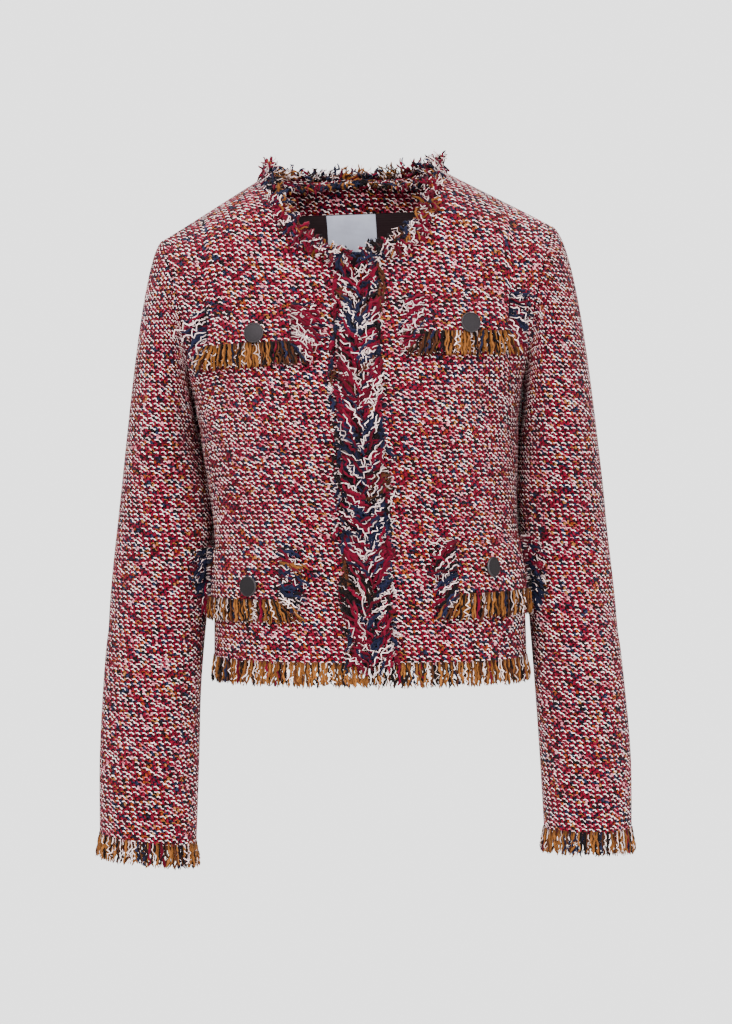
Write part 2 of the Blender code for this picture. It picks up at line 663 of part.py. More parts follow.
def buttons(fronts):
    """Turned buttons, one on each flap, standing on its face."""
    for button in BUTTONS:
        side = button.flap.split("_")[1]
        flap = FLAPS[button.flap]
        row = flap.low + (flap.high - flap.low) * button.up
        column = flap.inner + (flap.outer - flap.inner) * button.across
        point, normal = fronts[side].at(row, column)
        bm = bmesh.new()
        verts = [bm.verts.new((x, 0.0, z)) for x, z in button_profile()]
        edges = [bm.edges.new(pair) for pair in zip(verts, verts[1:])]
        bmesh.ops.spin(bm, geom=verts + edges, cent=(0, 0, 0), axis=(0, 0, 1),
                       angle=2 * math.pi, steps=BUTTON_SIDES, use_merge=True)
        bmesh.ops.remove_doubles(bm, verts=bm.verts, dist=0.00001)
        tip = Vector((0, 0, SHANK_HEIGHT))
        turn = Matrix.Rotation(math.radians(button.turn), 4, "Y")
        for vert in bm.verts:
            if vert.co.z > SHANK_HEIGHT - 0.0001 and button.turn:
                vert.co = turn @ (vert.co - tip) + tip
        made = new_object(f"button_{button.flap}", bm, "gunmetal")
        stand = flap_offset(flap)(row) + GAP
        forward = Vector(normal)
        across = Vector((0, 0, 1)).cross(forward).normalized()
        up = forward.cross(across)
        made.matrix_world = Matrix.Translation(Vector(point + normal * stand)) @ Matrix(
            (across, up, forward)).transposed().to_4x4()


# ---------------------------------------------------------------- what shows inside the neck
def inside_of_neck(backs):
    """The tweed facing, the lining below it and the plain label under their seam."""
    seam = NAPE_ROW - 1
    top = len(LEVEL_ROWS) + len(BACK_YOKE)
    inset = TWEED + GAP
    back_layer("neck_facing", backs, range(seam, top), FACING_COLUMNS, inset, FACING_CLOTH,
               "tweed")
    rows = (*range(seam - LINING_ROWS, seam), seam - SEAM_SHARE)
    back_layer("back_lining", backs, rows, LINING_COLUMNS, inset, LINING_CLOTH, "lining")
    rows = (seam - LABEL_ROWS, seam - LABEL_ROWS / 2, seam - 2 * SEAM_SHARE)
    back_layer("neck_label", backs, rows, (0, 1), inset + LINING_CLOTH + GAP, LABEL_CLOTH,
               "label")


def main():
    for old in list(bpy.data.objects):
        bpy.data.objects.remove(old)
    fronts, backs = body_panels()
    sleeves(fronts, backs)
    hem_fringes(fronts, backs)
    front_fringes(fronts)
    neck_fringe(*neckline(fronts, backs))
    pocket_flaps(fronts)
    buttons(fronts)
    inside_of_neck(backs)


main()
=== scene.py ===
"""Cropped tweed jacket with frayed edges, filled out as it is worn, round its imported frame.

The body lies on one form. At a height z its section is a rounded oval, as wide and as deep as
LEVELS says, and near the shoulder line its depth shrinks to nothing along a quarter ellipse. Each
cloth piece is a sheet of points on that form, thickened inwards, with soft troughs for its creases.
Each frayed edge is a few hundred yarn tubes that lie on, stand from or hang from the cloth.
"""

from __future__ import annotations

import logging
import math
from dataclasses import dataclass, field
from enum import Enum
from typing import NamedTuple

import bpy
import numpy as np
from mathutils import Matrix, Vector


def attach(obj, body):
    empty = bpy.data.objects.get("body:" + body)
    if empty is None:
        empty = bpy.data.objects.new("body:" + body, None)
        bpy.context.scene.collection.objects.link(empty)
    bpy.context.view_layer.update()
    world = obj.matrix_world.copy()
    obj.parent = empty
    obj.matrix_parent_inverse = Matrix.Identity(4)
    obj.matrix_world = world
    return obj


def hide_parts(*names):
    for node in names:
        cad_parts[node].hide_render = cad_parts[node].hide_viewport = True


Array = np.ndarray
LOG = logging.getLogger("jacket")

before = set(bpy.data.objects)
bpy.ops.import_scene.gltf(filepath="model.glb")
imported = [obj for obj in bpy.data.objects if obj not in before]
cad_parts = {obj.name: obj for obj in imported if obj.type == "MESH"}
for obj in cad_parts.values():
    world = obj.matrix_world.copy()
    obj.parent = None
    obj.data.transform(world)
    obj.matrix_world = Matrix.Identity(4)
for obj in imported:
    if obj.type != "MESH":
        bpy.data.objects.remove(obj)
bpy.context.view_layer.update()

GAP = 0.0003
WELD_STEP = 1e-5  # points nearer than this count as one
TWEED = 0.0024
FLAP_CLOTH = 0.0030
LINING_CLOTH = 0.0010
FACING_CLOTH = 0.0018
LABEL_CLOTH = 0.0010


class Side(Enum):
    """A side of the wearer; the value is its sign along X."""

    RIGHT = -1
    LEFT = 1

    @property
    def word(self) -> str:
        """The side's name as the nodes spell it."""
        return self.name.lower()


class Half(Enum):
    """The front or the back of the body; the value is its sign along Y."""

    FRONT = -1
    BACK = 1


# ------------------------------------------------------------------------------ arrays
def unit(vectors: Array) -> Array:
    """Vectors at length 1."""
    return vectors / np.maximum(np.linalg.norm(vectors, axis=-1, keepdims=True), 1e-12)


def smooth_curve(values: Array, at: Array, knots: Array | None = None) -> Array:
    """A cubic curve through values, each slope taken from the neighbours.

    Args:
        values: one value for each knot.
        at: places to read the curve at.
        knots: places of the values, or None for 0, 1, 2 and so on.

    Returns:
        The curve's values there.
    """
    values = np.asarray(values, float)
    knots = np.arange(len(values), dtype=float) if knots is None else np.asarray(knots, float)
    slopes = np.gradient(values, knots)
    i = np.clip(np.searchsorted(knots, at) - 1, 0, len(knots) - 2)
    span = knots[i + 1] - knots[i]
    t = np.clip((at - knots[i]) / span, 0.0, 1.0)
    level = (1 + 2 * t) * (1 - t) ** 2 * values[i] + t * t * (3 - 2 * t) * values[i + 1]
    return level + span * t * (1 - t) * ((1 - t) * slopes[i] - t * slopes[i + 1])


def smoothstep(low: float, high: float, x: Array) -> Array:
    """0 below low, 1 above high and an S curve between."""
    t = np.clip((x - low) / (high - low), 0.0, 1.0)
    return t * t * (3 - 2 * t)


def lengths_along(points: Array, axis: int) -> Array:
    """Distance along a grid of points from its first row or column, at every point."""
    steps = np.linalg.norm(np.diff(points, axis=axis), axis=-1)
    pad = [(0, 0), (0, 0)]
    pad[axis] = (1, 0)
    return np.pad(np.cumsum(steps, axis=axis), pad)


def grid_normals(points: Array, closed: bool = False) -> Array:
    """Unit cross product of a grid's two directions.

    Args:
        points: rows by columns by 3.
        closed: whether the last column meets the first.

    Returns:
        Normals, rows by columns by 3.
    """
    if closed:
        ring = points[:, :-1]
        across = np.roll(ring, -1, axis=1) - np.roll(ring, 1, axis=1)
        across = np.concatenate([across, across[:, :1]], axis=1)
    else:
        across = np.gradient(points, axis=1)
    return unit(np.cross(across, np.gradient(points, axis=0)))


class Fold(NamedTuple):
    """A crease: a trough with a bell across it and a taper along it."""

    at: float
    z: float
    half_length: float
    half_breadth: float
    lean: float
    depth: float


def creases(folds: tuple[Fold, ...], run: Array, height: Array) -> Array:
    """Depth of all the troughs together.

    Each is depth times exp(-(across / breadth)^2) times (1 - (along / length)^2)^2, with across
    and along measured from its middle and turned by its lean.

    Args:
        folds: the troughs; a negative depth is a ridge.
        run: distance across, in the folds' own measure.
        height: height of each point.

    Returns:
        How far each point lies under the smooth surface.
    """
    total = np.zeros(np.broadcast(run, height).shape)
    for fold in folds:
        lean = math.radians(fold.lean)
        across = (run - fold.at) * math.cos(lean) - (height - fold.z) * math.sin(lean)
        along = (run - fold.at) * math.sin(lean) + (height - fold.z) * math.cos(lean)
        taper = np.clip(1 - (along / fold.half_length) ** 2, 0.0, 1.0) ** 2
        total += fold.depth * np.exp(-((across / fold.half_breadth) ** 2)) * taper
    return total


# ------------------------------------------------------------------------------ sheets
@dataclass
class Sheet:
    """An open sheet of quads: corner positions, corner UVs in metres, and outward normals."""

    corners: Array
    uvs: Array
    normals: Array

    @classmethod
    def from_grid(cls, points: Array, normals: Array, uvs: Array, outward: int = 1) -> Sheet:
        """Quads between the rows and columns of a grid.

        Args:
            points: rows by columns by 3.
            normals: the same shape, pointing out.
            uvs: rows by columns by 2.
            outward: 1 where rows up and columns along turn anticlockwise seen from outside.

        Returns:
            The sheet.
        """

        def quads(grid: Array) -> Array:
            """The four corners of every cell, in order round it."""
            ring = (grid[:-1, :-1], grid[:-1, 1:], grid[1:, 1:], grid[1:, :-1])
            stacked = np.stack(ring if outward > 0 else ring[::-1], axis=2)
            return stacked.reshape(-1, 4, grid.shape[-1])

        return cls(quads(points), quads(uvs), quads(normals))

    def __add__(self, other: Sheet) -> Sheet:
        """Both sheets together."""
        return Sheet(np.concatenate([self.corners, other.corners]),
                     np.concatenate([self.uvs, other.uvs]),
                     np.concatenate([self.normals, other.normals]))


def welded(corners: Array) -> tuple[Array, Array, Array]:
    """Merge corners that are within a hundredth of a millimetre.

    Args:
        corners: faces by corners by 3.

    Returns:
        For each point its first corner's index, each face's point indices, and the point count of
        corners at each point.
    """
    flat = corners.reshape(-1, 3)
    keys = np.round(flat / WELD_STEP).astype(np.int64)
    _, first, index, count = np.unique(keys, axis=0, return_index=True, return_inverse=True,
                                       return_counts=True)
    return first, index.reshape(corners.shape[:2]), count


def new_mesh(name: str, points: Array, faces: Array, uvs: Array | None = None,
             colours: Array | None = None, slots: Array | None = None) -> bpy.types.Object:
    """An object from arrays.

    Args:
        name: the piece's name.
        points: points by 3.
        faces: faces by 4 point indices.
        uvs: faces by 4 by 2, written to the UV map "cloth".
        colours: points by 3, written to the colour attribute "yarn".
        slots: material slot of each face.

    Returns:
        The object, linked to the scene and shaded smooth.
    """
    mesh = bpy.data.meshes.new(name)
    mesh.from_pydata(points.tolist(), [], faces.tolist())
    if uvs is not None:
        layer = mesh.uv_layers.new(name="cloth")
        layer.uv.foreach_set("vector", uvs.reshape(-1).astype(np.float32))
    if colours is not None:
        attribute = mesh.color_attributes.new("yarn", "FLOAT_COLOR", "POINT")
        rgba = np.concatenate([colours, np.ones((len(colours), 1))], axis=1)
        attribute.data.foreach_set("color", rgba.reshape(-1).astype(np.float32))
    if slots is not None:
        mesh.polygons.foreach_set("material_index", slots.astype(np.int32))
    mesh.shade_smooth()
    mesh.validate()
    made = bpy.data.objects.new(name, mesh)
    bpy.context.scene.collection.objects.link(made)
    return made


def shell(name: str, sheet: Sheet, thickness: float, outer: Finish,
          inner: Finish | None = None) -> bpy.types.Object:
    """A closed wall: the sheet, the sheet moved in along its normals, and a rim between them.

    Args:
        name: the piece's name.
        sheet: the outer face.
        thickness: of the cloth.
        outer: finish of the outer face and the rim.
        inner: finish of the inner face, or None for the same.

    Returns:
        The object.
    """
    first, faces, count = welded(sheet.corners)
    points = sheet.corners.reshape(-1, 3)[first]
    normals = np.zeros_like(points)
    np.add.at(normals, faces.reshape(-1), sheet.normals.reshape(-1, 3))
    inside = points - unit(normals) * thickness
    n = len(points)
    starts, ends = faces, np.roll(faces, -1, axis=1)
    edge_ids = np.minimum(starts, ends).astype(np.int64) * n + np.maximum(starts, ends)
    _, index, uses = np.unique(edge_ids, return_inverse=True, return_counts=True)
    open_edge = (uses[index.reshape(-1)] == 1).reshape(faces.shape)
    a, b = starts[open_edge], ends[open_edge]
    rim = np.stack([b, a, a + n, b + n], axis=1)
    uv_a, uv_b = sheet.uvs[open_edge], np.roll(sheet.uvs, -1, axis=1)[open_edge]
    rim_uv = np.stack([uv_b, uv_a, uv_a + [0, thickness], uv_b + [0, thickness]], axis=1)
    all_faces = np.concatenate([faces, faces[:, ::-1] + n, rim])
    all_uvs = np.concatenate([sheet.uvs, sheet.uvs[:, ::-1], rim_uv])
    slots = np.zeros(len(all_faces), int)
    slots[len(faces):2 * len(faces)] = 1 if inner else 0
    made = new_mesh(name, np.concatenate([points, inside]), all_faces, all_uvs, slots=slots)
    made.data.set_sharp_from_angle(angle=math.radians(50))
    made.data.materials.append(outer.material())
    if inner:
        made.data.materials.append(inner.material())
    return made


def settle(piece: bpy.types.Object, slot: str, *nodes: str) -> bpy.types.Object:
    """Ride the root body and stand for CAD nodes; report the piece."""
    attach(piece, "root")
    if nodes:
        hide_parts(*nodes)
    LOG.info("%s: %d faces", piece.name, len(piece.data.polygons))
    return piece


# ------------------------------------------------------------------------------ the form
class Level(NamedTuple):
    """A section of the body form."""

    z: float
    half_width: float
    front: float
    back: float
    centre_x: float


class Row(NamedTuple):
    """A row of a panel near the neck: distance from the middle and drop under the shoulder."""

    neck_x: float
    neck_under: float
    armhole_x: float
    armhole_under: float


@dataclass(frozen=True)
class BodyForm:
    """The surface that the fronts and the back lie on."""

    neck_half: float = 0.085
    slope: float = math.tan(math.radians(29.5))
    shoulder_drop: float = 0.055
    lean: float = 0.037
    lean_fade: float = 0.084
    side_power: float = 2.4
    depth_power: float = 2.2
    levels: tuple[Level, ...] = (
        Level(-0.484, 0.1560, 0.110, 0.104, 0.0175),
        Level(-0.430, 0.1550, 0.108, 0.099, 0.0165),
        Level(-0.350, 0.1515, 0.107, 0.090, 0.0125),
        Level(-0.295, 0.1555, 0.115, 0.093, 0.0090),
        Level(-0.250, 0.1605, 0.122, 0.101, 0.0060),
        Level(-0.222, 0.1640, 0.120, 0.107, 0.0050),
        Level(-0.165, 0.1870, 0.106, 0.114, 0.0050),
        Level(-0.110, 0.2060, 0.091, 0.111, 0.0048),
        Level(-0.055, 0.2190, 0.080, 0.094, 0.0042),
        Level(0.000, 0.2250, 0.074, 0.080, 0.0000),
        Level(0.030, 0.2260, 0.072, 0.072, 0.0000),
    )

    def size(self, name: str, z: Array) -> Array:
        """One column of the levels, at heights z."""
        return smooth_curve([getattr(level, name) for level in self.levels], z,
                            [level.z for level in self.levels])

    def shoulder_line(self, x: Array) -> Array:
        """Height of the shoulder line at a distance from the middle."""
        return (self.neck_half - x) * self.slope

    def angle(self, x: Array, z: Array) -> Array:
        """The angle round the oval at which its half width is x."""
        share = np.clip(x / self.size("half_width", z), 0.0, 1.0)
        return np.arcsin(share ** (self.side_power / 2))

    def width_at(self, angle: Array, z: Array) -> Array:
        """Distance from the middle at an angle round the oval."""
        return self.size("half_width", z) * np.sin(angle) ** (2 / self.side_power)

    def depth(self, x: Array, z: Array, half: Half) -> Array:
        """Distance from the plane of the side seams, less near the shoulder line."""
        under = np.clip((self.shoulder_line(x) - z) / self.shoulder_drop, 0.0, 1.0)
        rounding = np.sqrt(1 - (1 - under) ** 2)
        round_oval = np.cos(self.angle(x, z)) ** (2 / self.depth_power)
        return self.size(half.name.lower(), z) * round_oval * rounding

    def place(self, x: Array, z: Array, half: Half, side: Side) -> Array:
        """Points on the form, in the jacket's frame.

        Args:
            x: distance from the middle.
            z: height before the lean of the shoulders.
            half: front or back.
            side: left or right.

        Returns:
            Points, with the sway of the body and the lean added.
        """
        across = side.value * x + self.size("centre_x", z)
        out = half.value * (self.depth(x, z, half) + GAP / 2)
        fade = np.clip((z - self.levels[0].z) / self.lean_fade, 0.0, 1.0)
        return np.stack([across, out, z + self.lean * across * fade], axis=-1)


CLOTH_BEND_X = 0.15  # the rise of the cloth is summed no further out, where the form turns
LEVEL_ROWS = (-0.484, -0.465, -0.445, -0.4235, -0.398, -0.373, -0.335, -0.295, -0.255, -0.222,
              -0.198, -0.174, -0.152, -0.1305)
ARMHOLE_X = (0.1665, 0.1690, 0.1725, 0.1760)
FRONT_YOKE = (
    Row(0.001, 0.1515, 0.1790, 0.0655),
    Row(0.003, 0.1324, 0.1820, 0.0500),
    Row(0.030, 0.1121, 0.1850, 0.0360),
    Row(0.050, 0.0888, 0.1880, 0.0240),
    Row(0.0635, 0.0642, 0.1905, 0.0140),
    Row(0.0725, 0.0391, 0.1925, 0.0065),
    Row(0.080, 0.0163, 0.1936, 0.0020),
    Row(0.085, 0.0, 0.194, 0.0),
)
BACK_YOKE = (
    Row(0.000, 0.1260, 0.1775, 0.0655),
    Row(0.000, 0.0831, 0.1800, 0.0500),
    Row(0.000, 0.0511, 0.1840, 0.0360),
    Row(0.030, 0.0341, 0.1875, 0.0240),
    Row(0.052, 0.0212, 0.1905, 0.0140),
    Row(0.069, 0.0106, 0.1925, 0.0065),
    Row(0.080, 0.0033, 0.1936, 0.0020),
    Row(0.085, 0.0, 0.194, 0.0),
)
ARMPIT, PIT, NAPE, TOP = 9, 15, 16, 21  # rows at those places; PIT and NAPE end at the neckline
FRAY_REACH = 0.024
FRONT_COLUMNS = (0.0, 0.0, 0.0, 0.08, 0.16, 0.23, 0.32, 0.43, 0.54, 0.65, 0.75, 0.83, 0.90, 0.96,
                 1.0)
FALL_OPEN = {Side.RIGHT: 0.008, Side.LEFT: 0.003}
FALL_SHARES = np.array([1 / 6, 1.0])

FRONT_FOLDS = (
    Fold(0.128, -0.225, 0.060, 0.013, 24, 0.0030),
    Fold(0.100, -0.318, 0.050, 0.016, -16, 0.0020),
    Fold(0.150, -0.262, 0.045, 0.008, 38, 0.0016),
    Fold(0.118, -0.285, 0.060, 0.010, -32, -0.0012),
    Fold(0.070, -0.235, 0.070, 0.020, 10, -0.0012),
    Fold(0.060, -0.345, 0.060, 0.012, 22, 0.0010),
    Fold(0.150, -0.140, 0.045, 0.009, 8, 0.0014),
    Fold(0.110, -0.095, 0.050, 0.012, 62, 0.0010),
    Fold(0.045, -0.440, 0.045, 0.013, -6, 0.0012),
    Fold(0.085, -0.455, 0.040, 0.010, 9, -0.0010),
    Fold(0.125, -0.452, 0.040, 0.012, -4, 0.0012),
)
BACK_FOLDS = (
    Fold(0.120, -0.235, 0.070, 0.014, 20, 0.0034),
    Fold(0.060, -0.340, 0.060, 0.018, -12, 0.0022),
    Fold(0.145, -0.270, 0.050, 0.009, 34, 0.0018),
    Fold(0.090, -0.300, 0.070, 0.011, -24, -0.0014),
    Fold(0.030, -0.360, 0.050, 0.010, 16, 0.0012),
    Fold(0.100, -0.130, 0.060, 0.012, 14, 0.0016),
    Fold(0.050, -0.445, 0.045, 0.012, -8, 0.0014),
    Fold(0.110, -0.450, 0.045, 0.012, 6, 0.0012),
)


@dataclass
class BodyPanel:
    """Half of the front or the back: rows from the hem up to the shoulder seam.

    A place in it is a row v, from 0 at the hem to TOP at the shoulder, and a distance x from the
    middle. Each row runs straight, seen from the front, from its inner to its outer end.
    """

    form: BodyForm
    half: Half
    side: Side
    folds: tuple[Fold, ...] = field(init=False)

    def __post_init__(self) -> None:
        """Work out both ends of every row, as distance and root of the drop."""
        yoke = FRONT_YOKE if self.half is Half.FRONT else BACK_YOKE
        self.folds = FRONT_FOLDS if self.half is Half.FRONT else BACK_FOLDS
        edge = 0.001 if self.half is Half.FRONT else 0.0
        z = np.array(LEVEL_ROWS)
        outer = np.concatenate([self.form.size("half_width", z[:ARMPIT + 1]), ARMHOLE_X])
        inner = np.full(len(z), edge)
        fall = np.zeros(len(yoke))
        if self.half is Half.FRONT:
            fall[:2] = FALL_OPEN[self.side] * FALL_SHARES
        under_in = self.form.shoulder_line(inner) - z
        under_out = self.form.shoulder_line(outer) - z
        self.inner_x = np.concatenate([inner, [r.neck_x for r in yoke] + fall])
        self.inner_root = np.sqrt(np.concatenate([under_in, [r.neck_under for r in yoke]]))
        self.outer_x = np.concatenate([outer, [r.armhole_x for r in yoke]])
        self.outer_root = np.sqrt(np.concatenate([under_out, [r.armhole_under for r in yoke]]))

    def ends(self, v: Array) -> tuple[Array, Array, Array, Array]:
        """Distance and height of the inner and the outer end of rows v."""
        x_in, x_out = smooth_curve(self.inner_x, v), smooth_curve(self.outer_x, v)
        z_in = self.form.shoulder_line(x_in) - smooth_curve(self.inner_root, v) ** 2
        z_out = self.form.shoulder_line(x_out) - smooth_curve(self.outer_root, v) ** 2
        return x_in, z_in, x_out, z_out

    def spots(self, v: Array, share: Array) -> tuple[Array, Array]:
        """Distance from the middle and height at shares of the way round each row."""
        x_in, z_in, x_out, z_out = self.ends(v)
        start, end = self.form.angle(x_in, z_out), self.form.angle(x_out, z_out)
        x = self.form.width_at(start + (end - start) * share, z_out)
        x = np.where(share <= 0, x_in, np.where(share >= 1, x_out, x))
        return x, z_in + (z_out - z_in) * (x - x_in) / (x_out - x_in)

    def column_spots(self, v: Array, column: Array) -> tuple[Array, Array]:
        """Distance and height at a row and a pattern column of a front, below the neck."""
        _, _, x_out, z = self.ends(v)
        start = self.form.angle(self.inner_x[0] + FRAY_REACH, z)
        share = np.interp(column, np.arange(len(FRONT_COLUMNS)), FRONT_COLUMNS)
        turned = self.form.width_at(start + (self.form.angle(x_out, z) - start) * share, z)
        plain = self.inner_x[0] + FRAY_REACH * column / 2
        return np.where(column < 2, plain, turned), z

    def surface(self, x: Array, z: Array) -> tuple[Array, Array]:
        """Points of the creased cloth and its normals, at distances and heights.

        The normal is the cross product of central differences 1 mm apart.
        """
        step = 0.001
        near = np.minimum(x, self.form.size("half_width", z) - 2 * step)
        right = self.form.place(near + step, z, self.half, self.side)
        left = self.form.place(near - step, z, self.half, self.side)
        high = self.form.place(near, z + step, self.half, self.side)
        low = self.form.place(near, z - step, self.half, self.side)
        normals = unit(np.cross(right - left, high - low)) * (self.side.value * -self.half.value)
        points = self.form.place(x, z, self.half, self.side)
        return points - normals * creases(self.folds, x, z)[..., None], normals

    def cloth_uv(self, x: Array, z: Array) -> Array:
        """Metric places in the cloth: the run round from the middle, and the rise from the hem.

        Both are sums of 24 short steps over the form, the first at one height and the second at
        one distance from the middle.
        """
        steps = np.linspace(0.0, 1.0, 25)
        angle = self.form.angle(x, z)
        turn = angle[..., None] * steps
        level = np.broadcast_to(z[..., None], turn.shape)
        width = self.form.size("half_width", level) * np.sin(turn) ** (2 / self.form.side_power)
        depth = self.form.size(self.half.name.lower(), level) \
            * np.cos(turn) ** (2 / self.form.depth_power)
        run = np.hypot(np.diff(width), np.diff(depth)).sum(-1)
        heights = self.form.levels[0].z + (z - self.form.levels[0].z)[..., None] * steps
        flat_x = np.broadcast_to(np.minimum(x, CLOTH_BEND_X)[..., None], heights.shape)
        out = self.form.depth(flat_x, heights, self.half)
        rise = np.hypot(np.diff(heights), np.diff(out)).sum(-1)
        return np.stack([run * self.side.value, rise], axis=-1)

    def grid(self, rows: Array, shares: Array) -> tuple[Array, Array, Array]:
        """Points, normals and UVs of the cloth on a grid of rows and shares of a row."""
        v, share = np.meshgrid(rows, shares, indexing="ij")
        x, z = self.spots(v, share)
        smooth = self.form.place(x, z, self.half, self.side)
        out = self.side.value * -self.half.value
        points = smooth - grid_normals(smooth) * out * creases(self.folds, x, z)[..., None]
        normals = grid_normals(points) * out
        seam = np.zeros(v.shape, bool)
        seam[:, -1] = v[:, -1] <= ARMPIT
        seam[-1, :] = v[-1, :] >= TOP
        normals[seam, 1] = 0.0
        return points, unit(normals), self.cloth_uv(x, z)

    def sheet(self, rows: Array, shares: Array) -> Sheet:
        """The grid as a sheet."""
        points, normals, uvs = self.grid(rows, shares)
        outward = self.side.value * -self.half.value
        return Sheet.from_grid(points, normals, uvs, outward)


# ------------------------------------------------------------------------------ shader maths
class Graph:
    """A material's node tree, with one method that makes any node."""

    def __init__(self, material: bpy.types.Material) -> None:
        """Start from a tree that holds nothing but an output."""
        material.use_nodes = True
        self.tree = material.node_tree
        self.tree.nodes.clear()

    def node(self, kind: str, settings: dict[str, object] | None = None,
             **inputs: object) -> bpy.types.Node:
        """Make a node.

        Args:
            kind: the node's type, without "ShaderNode".
            settings: properties, set first; a "stops" entry fills a colour ramp.
            inputs: sockets by name, with _ for a space, or by number after "i".

        Returns:
            The node.
        """
        made = self.tree.nodes.new("ShaderNode" + kind)
        for name, value in (settings or {}).items():
            if name == "stops":
                self.fill_ramp(made.color_ramp, value)
            else:
                setattr(made, name, value)
        for name, value in inputs.items():
            numbered = name[0] == "i" and name[1:].isdigit()
            socket = made.inputs[int(name[1:]) if numbered else name.replace("_", " ")]
            if isinstance(value, Value):
                self.tree.links.new(value.socket, socket)
            elif isinstance(value, bpy.types.NodeSocket):
                self.tree.links.new(value, socket)
            else:
                socket.default_value = value
        return made

    @staticmethod
    def fill_ramp(ramp: bpy.types.ColorRamp, stops: list[tuple[float, tuple]]) -> None:
        """Give a colour ramp its stops, as (place, colour)."""
        ramp.interpolation = "CONSTANT"
        while len(ramp.elements) < len(stops):
            ramp.elements.new(1.0)
        for element, (place, colour) in zip(ramp.elements, stops):
            element.position = place
            element.color = (*colour, 1.0)

    def math(self, operation: str, *values: object) -> Value:
        """A Math node on numbers or values."""
        inputs = {f"i{i}": value for i, value in enumerate(values)}
        return Value(self, self.node("Math", {"operation": operation}, **inputs).outputs[0])

    def step(self, x: Value, low: float, high: float) -> Value:
        """An S curve of x from 0 at low to 1 at high."""
        made = self.node("MapRange", {"interpolation_type": "SMOOTHSTEP"}, Value=x,
                         From_Min=low, From_Max=high)
        return Value(self, made.outputs[0])

    def mix(self, factor: object, a: object, b: object) -> bpy.types.NodeSocket:
        """A colour between a and b."""
        made = self.node("Mix", {"data_type": "RGBA"}, i0=factor, i6=a, i7=b)
        return made.outputs[2]

    def tint(self, colour: object, factor: Value) -> bpy.types.NodeSocket:
        """A colour times a value."""
        grey = self.node("CombineColor", None, Red=factor, Green=factor, Blue=factor)
        made = self.node("Mix", {"data_type": "RGBA", "blend_type": "MULTIPLY"}, i0=1.0, i6=colour,
                         i7=grey.outputs[0])
        return made.outputs[2]

    def output(self, shader: bpy.types.Node) -> None:
        """Send a shader to the material's output."""
        self.node("OutputMaterial", None, Surface=shader.outputs[0])


@dataclass(frozen=True)
class Value:
    """A number that varies over a surface; arithmetic on it adds Math nodes."""

    graph: Graph
    socket: bpy.types.NodeSocket

    def __add__(self, other: object) -> Value:
        """Sum."""
        return self.graph.math("ADD", self, other)

    __radd__ = __add__

    def __sub__(self, other: object) -> Value:
        """Difference."""
        return self.graph.math("SUBTRACT", self, other)

    def __rsub__(self, other: object) -> Value:
        """Difference from a number."""
        return self.graph.math("SUBTRACT", other, self)

    def __mul__(self, other: object) -> Value:
        """Product."""
        return self.graph.math("MULTIPLY", self, other)

    __rmul__ = __mul__

    def __truediv__(self, other: object) -> Value:
        """Quotient."""
        return self.graph.math("DIVIDE", self, other)

    def __abs__(self) -> Value:
        """Size without sign."""
        return self.graph.math("ABSOLUTE", self)

    def floor(self) -> Value:
        """Whole part."""
        return self.graph.math("FLOOR", self)

    def highest(self, other: object) -> Value:
        """The greater of two."""
        return self.graph.math("MAXIMUM", self, other)


Colour = tuple[float, float, float]
CRIMSON: Colour = (0.120, 0.0008, 0.0110)
DARK_RED: Colour = (0.038, 0.0010, 0.0062)
PINK: Colour = (0.500, 0.140, 0.180)
NAVY: Colour = (0.010, 0.0125, 0.033)
CREAM: Colour = (0.950, 0.740, 0.715)
OCHRE: Colour = (0.240, 0.085, 0.022)
RUST: Colour = (0.170, 0.020, 0.004)
BLACK: Colour = (0.007, 0.004, 0.0045)


@dataclass(frozen=True)
class Finish:
    """A finish with a name; subclasses say how its nodes are joined."""

    name: str

    def material(self) -> bpy.types.Material:
        """The material, made the first time it is asked for."""
        if self.name not in bpy.data.materials:
            self.dress(Graph(bpy.data.materials.new(self.name)))
        return bpy.data.materials[self.name]

    def dress(self, graph: Graph) -> None:
        """Join the nodes."""
        raise NotImplementedError


